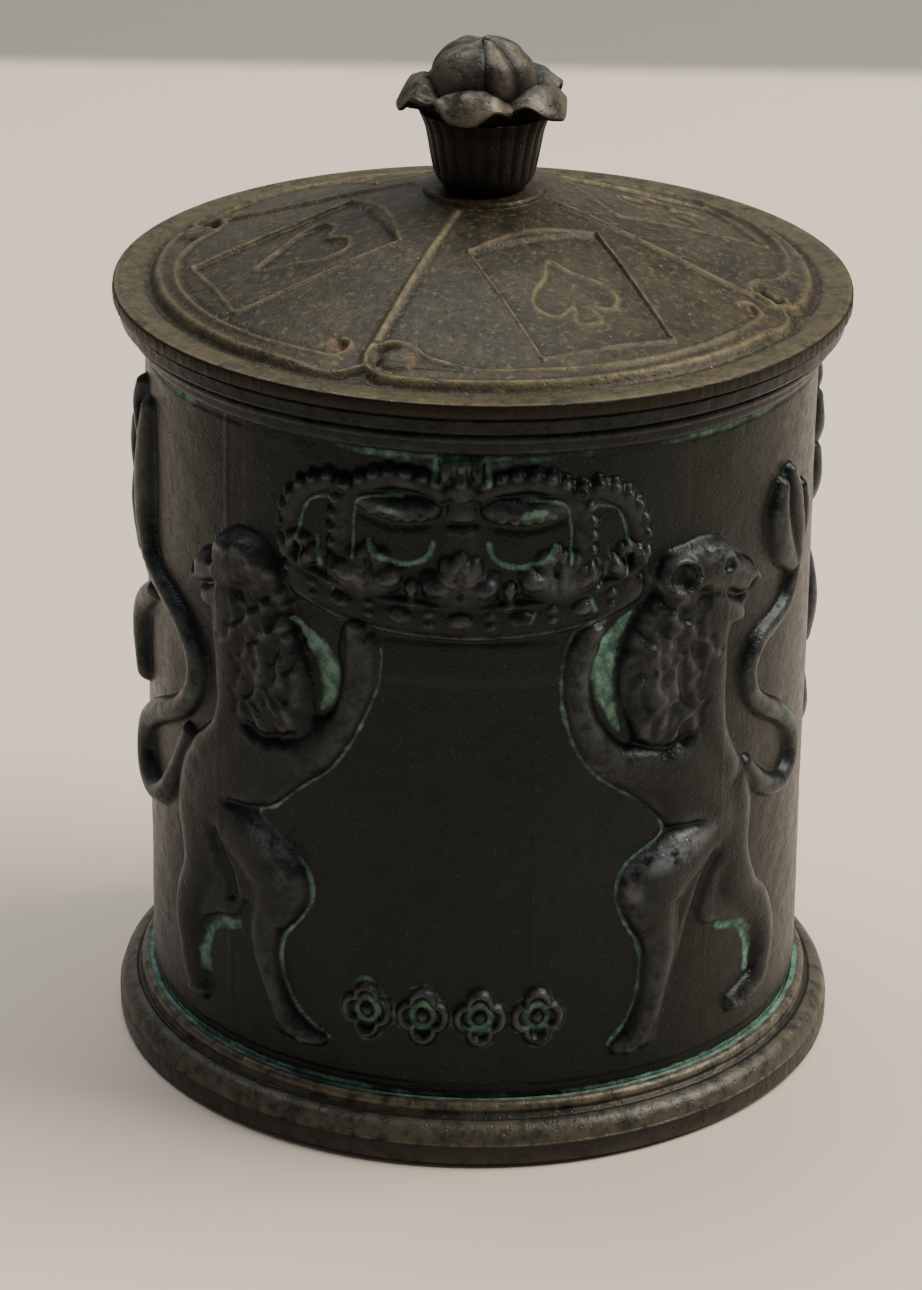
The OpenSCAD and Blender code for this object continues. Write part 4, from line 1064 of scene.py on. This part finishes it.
# ------------------------------------------------------------------ materials
class Shader:
    """Short helpers for building a node tree."""

    def __init__(self, name):
        self.mat = bpy.data.materials.new(name)
        self.mat.use_nodes = True
        self.tree = self.mat.node_tree
        self.tree.nodes.clear()
        self.out = self.node("ShaderNodeOutputMaterial")
        self.bsdf = self.node("ShaderNodeBsdfPrincipled")
        self.link(self.bsdf.outputs[0], self.out.inputs[0])
        self.coords = self.node("ShaderNodeTexCoord").outputs["Object"]

    def node(self, kind, **props):
        n = self.tree.nodes.new(kind)
        for key, value in props.items():
            setattr(n, key, value)
        return n

    def link(self, a, b):
        self.tree.links.new(a, b)

    def feed(self, socket, value):
        if isinstance(value, (int, float, tuple)):
            socket.default_value = value
        else:
            self.link(value, socket)

    def noise(self, scale, detail, rough, stretch=None):
        n = self.node("ShaderNodeTexNoise")
        n.inputs["Scale"].default_value = scale
        n.inputs["Detail"].default_value = detail
        n.inputs["Roughness"].default_value = rough
        n.inputs["Distortion"].default_value = 0.0
        source = self.coords
        if stretch:
            m = self.node("ShaderNodeMapping")
            m.inputs["Scale"].default_value = stretch
            self.link(source, m.inputs["Vector"])
            source = m.outputs[0]
        self.link(source, n.inputs["Vector"])
        return n.outputs["Fac"]

    def voronoi(self, scale):
        n = self.node("ShaderNodeTexVoronoi", feature="F1")
        n.inputs["Scale"].default_value = scale
        self.link(self.coords, n.inputs["Vector"])
        return n.outputs["Distance"]

    def attribute(self, name):
        return self.node("ShaderNodeAttribute", attribute_name=name).outputs["Fac"]

    def ramp(self, value, low, high):
        n = self.node("ShaderNodeMapRange", clamp=True)
        n.interpolation_type = "SMOOTHSTEP"
        self.feed(n.inputs["Value"], value)
        n.inputs["From Min"].default_value = low
        n.inputs["From Max"].default_value = high
        return n.outputs[0]

    def math(self, op, a, b):
        n = self.node("ShaderNodeMath", operation=op, use_clamp=False)
        self.feed(n.inputs[0], a)
        self.feed(n.inputs[1], b)
        return n.outputs[0]

    def times(self, a, b):
        return self.math("MULTIPLY", a, b)

    def plus(self, a, b):
        return self.math("ADD", a, b)

    def layer(self, mask, amount, colour, tint):
        """The tint laid over the colour where the mask is, up to the amount."""
        return self.mix(self.times(mask, amount), colour, tint)

    def mix(self, factor, a, b):
        n = self.node("ShaderNodeMix", data_type="RGBA")
        self.feed(n.inputs["Factor"], factor)
        self.feed(n.inputs[6], (*a, 1.0) if isinstance(a, tuple) else a)
        self.feed(n.inputs[7], (*b, 1.0) if isinstance(b, tuple) else b)
        return n.outputs[2]

    def blend(self, factor, a, b):
        n = self.node("ShaderNodeMix", data_type="FLOAT")
        self.feed(n.inputs["Factor"], factor)
        self.feed(n.inputs[2], a)
        self.feed(n.inputs[3], b)
        return n.outputs[0]

    def bump(self, height, distance, strength):
        n = self.node("ShaderNodeBump")
        n.inputs["Strength"].default_value = strength
        n.inputs["Distance"].default_value = distance
        self.link(height, n.inputs["Height"])
        return n.outputs[0]

    def finish(self, colour, rough, metal, normal):
        self.feed(self.bsdf.inputs["Base Color"], colour)
        self.feed(self.bsdf.inputs["Roughness"], rough)
        self.feed(self.bsdf.inputs["Metallic"], metal)
        if normal is not None:
            self.link(normal, self.bsdf.inputs["Normal"])
        return self.mat


GREEN_DARK = (0.046, 0.100, 0.076)
GREEN_LIGHT = (0.175, 0.310, 0.240)
LINT = (0.30, 0.27, 0.19)
COPPER = (0.24, 0.10, 0.055)


def bronze(name, dark, light, worn_and_highlight, rough, wear_and_highlight_gain, shine, dust=None, copper=False, grain=1.0,
           tint=(1.0, 1.0, 1.0)):
    """Patinated cast bronze: mottled dark patina, rubbed high points that also serve as painted highlights,
    painted shade on upright sides, and verdigris where the mesh's fields say, dust and lint on the lid, and
    cast grain and pits in the bump."""
    s = Shader(name)
    cloud = s.noise(90, 6, 0.6)
    fine = s.noise(900, 5, 0.65)
    speck = s.noise(2600, 3, 0.6)
    colour = s.mix(s.ramp(cloud, 0.3, 0.72), dark, light)
    colour = s.mix(s.ramp(fine, 0.52, 0.8), colour, tuple(1.5 * c for c in light))
    colour = s.layer(s.ramp(speck, 0.60, 0.76), 0.4, colour, tuple(0.45 * c for c in worn_and_highlight))
    colour = s.layer(s.ramp(s.noise(1700, 3, 0.6), 0.56, 0.7), 0.6, colour, tuple(0.35 * c for c in dark))
    if dust:
        settle = s.ramp(s.noise(240, 6, 0.7), 0.35, 0.75)
        colour = s.layer(settle, 0.5, colour, dust)
        low = s.times(s.attribute("hollow"), 0.8)
        colour = s.mix(low, colour, tuple(0.3 * c for c in light))
        grit = s.noise(1250, 5, 0.8)
        colour = s.layer(s.ramp(grit, 0.54, 0.64), 0.6, colour, tuple(1.9 * c for c in dust))
        colour = s.layer(s.ramp(grit, 0.47, 0.38), 0.6, colour, tuple(0.4 * c for c in dark))
        lint = s.ramp(s.noise(1500, 2, 0.5), 0.755, 0.785)
        colour = s.layer(lint, 0.7, colour, LINT)
    # painted shade: upright sides and the lid's underside are darkened where the side field says
    colour = s.mix(s.attribute("side"), colour, tuple(0.16 * c for c in light))
    # rubbed metal where the wear field says; on the case's thighs, ear and brow, the foot's edge and bead and
    # the bud's lobes it is also painted highlight
    wear_and_highlight = s.times(s.attribute("wear_and_highlight"), s.ramp(s.noise(500, 5, 0.7), 0.32, 0.62))
    wear_and_highlight = s.times(wear_and_highlight, wear_and_highlight_gain)
    colour = s.mix(wear_and_highlight, colour, worn_and_highlight)
    if copper:
        spots = s.times(s.attribute("copper"), s.ramp(s.noise(420, 5, 0.7), 0.5, 0.66))
        colour = s.layer(spots, 0.75, colour, COPPER)
    patchy = s.plus(s.attribute("verdigris"), s.times(s.math("SUBTRACT", s.noise(330, 6, 0.7), 0.5), 1.25))
    green = s.times(s.ramp(patchy, 0.34, 0.86), s.ramp(s.attribute("verdigris"), 0.02, 0.3))
    crust = s.mix(s.ramp(s.noise(700, 5, 0.7), 0.35, 0.68), GREEN_DARK, GREEN_LIGHT)
    colour = s.layer(green, 0.92, colour, crust)
    gloss = s.blend(s.ramp(fine, 0.3, 0.8), rough - 0.07, rough + 0.11)
    gloss = s.blend(green, gloss, 0.85)
    metal = s.times(wear_and_highlight, 0.55)
    height = s.plus(s.times(s.noise(520, 5, 0.6), 0.6), s.times(speck, 0.25))
    height = s.plus(height, s.times(green, s.noise(1500, 4, 0.7)))
    pits = s.ramp(s.voronoi(1300), 0.08, 0.3)
    height = s.plus(height, s.times(pits, 0.22))
    normal = s.bump(height, 0.00022 * grain, 0.75)
    s.bsdf.inputs["Specular IOR Level"].default_value = shine
    s.bsdf.inputs["Specular Tint"].default_value = (*tint, 1.0)
    return s.finish(colour, gloss, metal, normal)


def felt_material():
    s = Shader("felt")
    fibres = s.noise(2200, 6, 0.8)
    colour = s.mix(s.ramp(fibres, 0.35, 0.7), (0.018, 0.060, 0.034), (0.045, 0.120, 0.070))
    s.bsdf.inputs["Sheen Weight"].default_value = 0.4
    return s.finish(colour, 0.95, 0.0, s.bump(fibres, 0.0003, 0.8))


def cork_material():
    s = Shader("cork")
    cells = s.voronoi(700)
    colour = s.mix(s.ramp(cells, 0.1, 0.7), (0.34, 0.21, 0.11), (0.58, 0.40, 0.24))
    colour = s.mix(s.ramp(s.noise(900, 4, 0.6), 0.62, 0.72), colour, (0.12, 0.065, 0.03))
    return s.finish(colour, 0.85, 0.0, s.bump(cells, 0.00025, 0.7))


def glaze_material():
    s = Shader("glaze")
    pool = s.noise(60, 4, 0.5)
    colour = s.mix(s.ramp(pool, 0.3, 0.7), (0.70, 0.65, 0.54), (0.78, 0.74, 0.65))
    colour = s.layer(s.ramp(s.noise(1500, 3, 0.6), 0.66, 0.74), 0.5, colour, (0.30, 0.22, 0.14))
    s.bsdf.inputs["Coat Weight"].default_value = 0.6
    s.bsdf.inputs["Coat Roughness"].default_value = 0.08
    return s.finish(colour, 0.28, 0.0, s.bump(s.noise(220, 3, 0.5), 0.00012, 0.5))


def leather_material():
    s = Shader("leather")
    grain = s.voronoi(1600)
    colour = s.mix(s.ramp(s.noise(300, 5, 0.6), 0.3, 0.7), (0.085, 0.042, 0.022), (0.16, 0.085, 0.045))
    return s.finish(colour, 0.62, 0.0, s.bump(grain, 0.0002, 0.7))


def steel_material():
    s = Shader("screw_steel")
    turn = s.noise(900, 4, 0.6, (1.0, 1.0, 6.0))
    colour = s.mix(s.ramp(turn, 0.3, 0.7), (0.30, 0.29, 0.27), (0.44, 0.43, 0.41))
    colour = s.mix(s.ramp(s.noise(500, 5, 0.7), 0.6, 0.74), colour, (0.12, 0.075, 0.045))
    return s.finish(colour, s.blend(s.ramp(turn, 0.3, 0.7), 0.34, 0.5), 0.9, s.bump(turn, 0.0001, 0.5))


MATERIALS = {
    # the case's rubbed colour is a pale bluish grey, which is also the colour of its painted highlights
    "case_bronze": bronze("case_bronze", (0.0026, 0.0031, 0.0024), (0.0062, 0.0066, 0.0052),
                          (0.170, 0.182, 0.190), 0.36, 0.75, 0.2, tint=(0.86, 0.98, 1.0)),
    "foot_bronze": bronze("foot_bronze", (0.0058, 0.0068, 0.0050), (0.0155, 0.0160, 0.0115),
                          (0.150, 0.132, 0.092), 0.44, 0.9, 0.3, grain=1.1),
    "lid_bronze": bronze("lid_bronze", (0.0084, 0.0085, 0.0052), (0.0255, 0.0216, 0.0118),
                         (0.138, 0.112, 0.058), 0.50, 0.72, 0.25, dust=(0.062, 0.047, 0.025), copper=True,
                         tint=(1.0, 0.93, 0.76)),
    "knob_bronze": bronze("knob_bronze", (0.0042, 0.0044, 0.0036), (0.0120, 0.0108, 0.0078),
                          (0.150, 0.126, 0.088), 0.46, 0.85, 0.26),
    "screw_steel": steel_material(),
    "felt": felt_material(),
    "cork": cork_material(),
    "glaze": glaze_material(),
    "leather": leather_material(),
}


# ------------------------------------------------------------------ studio
FLOOR_REACH = 1500
FLOOR_TONES = (0.640, 0.550, 0.455), (0.682, 0.585, 0.484)
FAR_GREY_AND_SHADE = (0.247, 0.232, 0.205)   # the ground beyond the table top, seen at the picture's top edge: grey darkened with painted shade, for the dimmer upright backdrop it stands in for
FAR_FROM, FAR_TO = 0.370, 0.384    # metres behind the middle where the table's tone gives way to it
WORLD_COLOUR, WORLD_STRENGTH = (0.92, 0.93, 1.0, 1.0), 0.16


def build_studio():
    corners = [(FLOOR_REACH * x, FLOOR_REACH * y, 0) for x, y in ((-1, -1), (1, -1), (1, 1), (-1, 1))]
    floor = make_mesh("floor", corners, [(0, 1, 2, 3)])
    s = Shader("pale_floor")
    colour = s.mix(s.noise(6, 3, 0.5), *FLOOR_TONES)
    split = s.node("ShaderNodeSeparateXYZ")
    s.link(s.coords, split.inputs[0])
    # painted shade: the far ground gives way to a darker grey
    colour = s.mix(s.ramp(split.outputs[1], FAR_FROM, FAR_TO), colour, FAR_GREY_AND_SHADE)
    s.bsdf.inputs["Specular IOR Level"].default_value = 0.0
    s.finish(colour, 0.6, 0.0, None)
    floor.data.materials.append(s.mat)
    world = bpy.data.worlds.new("studio")
    world.use_nodes = True
    background = world.node_tree.nodes["Background"]
    background.inputs[0].default_value = WORLD_COLOUR
    background.inputs[1].default_value = WORLD_STRENGTH
    bpy.context.scene.world = world

    def area(name, place, target, size, power, colour):
        data = bpy.data.lights.new(name, "AREA")
        data.shape = "RECTANGLE"
        data.size, data.size_y = size
        data.energy = power
        data.color = colour
        lamp = bpy.data.objects.new(name, data)
        lamp.location = place
        lamp.rotation_euler = (Vector(target) - Vector(place)).to_track_quat("-Z", "Y").to_euler()
        bpy.context.scene.collection.objects.link(lamp)

    area("key", (0.75, 0.02, 0.95), (0, 0, 0.05), (0.7, 0.7), 22.0, (1.0, 0.94, 0.86))
    area("behind", (-0.1, 1.05, 0.42), (0, 0, 0.08), (1.3, 0.45), 1.1, (1.0, 0.95, 0.86))
    area("overhead", (-0.15, 0.30, 1.10), (0, 0, 0.05), (0.8, 0.6), 10.0, (0.94, 0.97, 1.0))


def build_camera():
    """The photograph's view, solved from the round lid, foot and wall."""
    focal_px, image_h, sensor = 4608.3, 1290, 36.0
    pitch, roll, yaw = math.radians(23.455), math.radians(0.755), math.radians(-0.233)
    place = Vector((0.071, -472.68, 248.82)) * MM
    ahead = Vector((math.sin(yaw) * math.cos(pitch), math.cos(yaw) * math.cos(pitch), -math.sin(pitch)))
    right = ahead.cross(Vector((0, 0, 1))).normalized()
    up = right.cross(ahead)
    right_r = math.cos(roll) * right + math.sin(roll) * up
    up_r = -math.sin(roll) * right + math.cos(roll) * up
    data = bpy.data.cameras.new("camera")
    data.sensor_fit = "VERTICAL"
    data.sensor_height = sensor
    data.lens = focal_px * sensor / image_h
    data.clip_start = 0.01
    cam = bpy.data.objects.new("camera", data)
    cam.matrix_world = Matrix.Translation(place) @ Matrix((right_r, up_r, -ahead)).transposed().to_4x4()
    bpy.context.scene.collection.objects.link(cam)
    bpy.context.scene.camera = cam


build_camera()
build_studio()
build_wall()
build_foot()
build_collar()
build_lid()
build_knob_cup()
build_petals()
build_bud()
build_ink_pot()
build_funnel()
dress_cad_nodes()
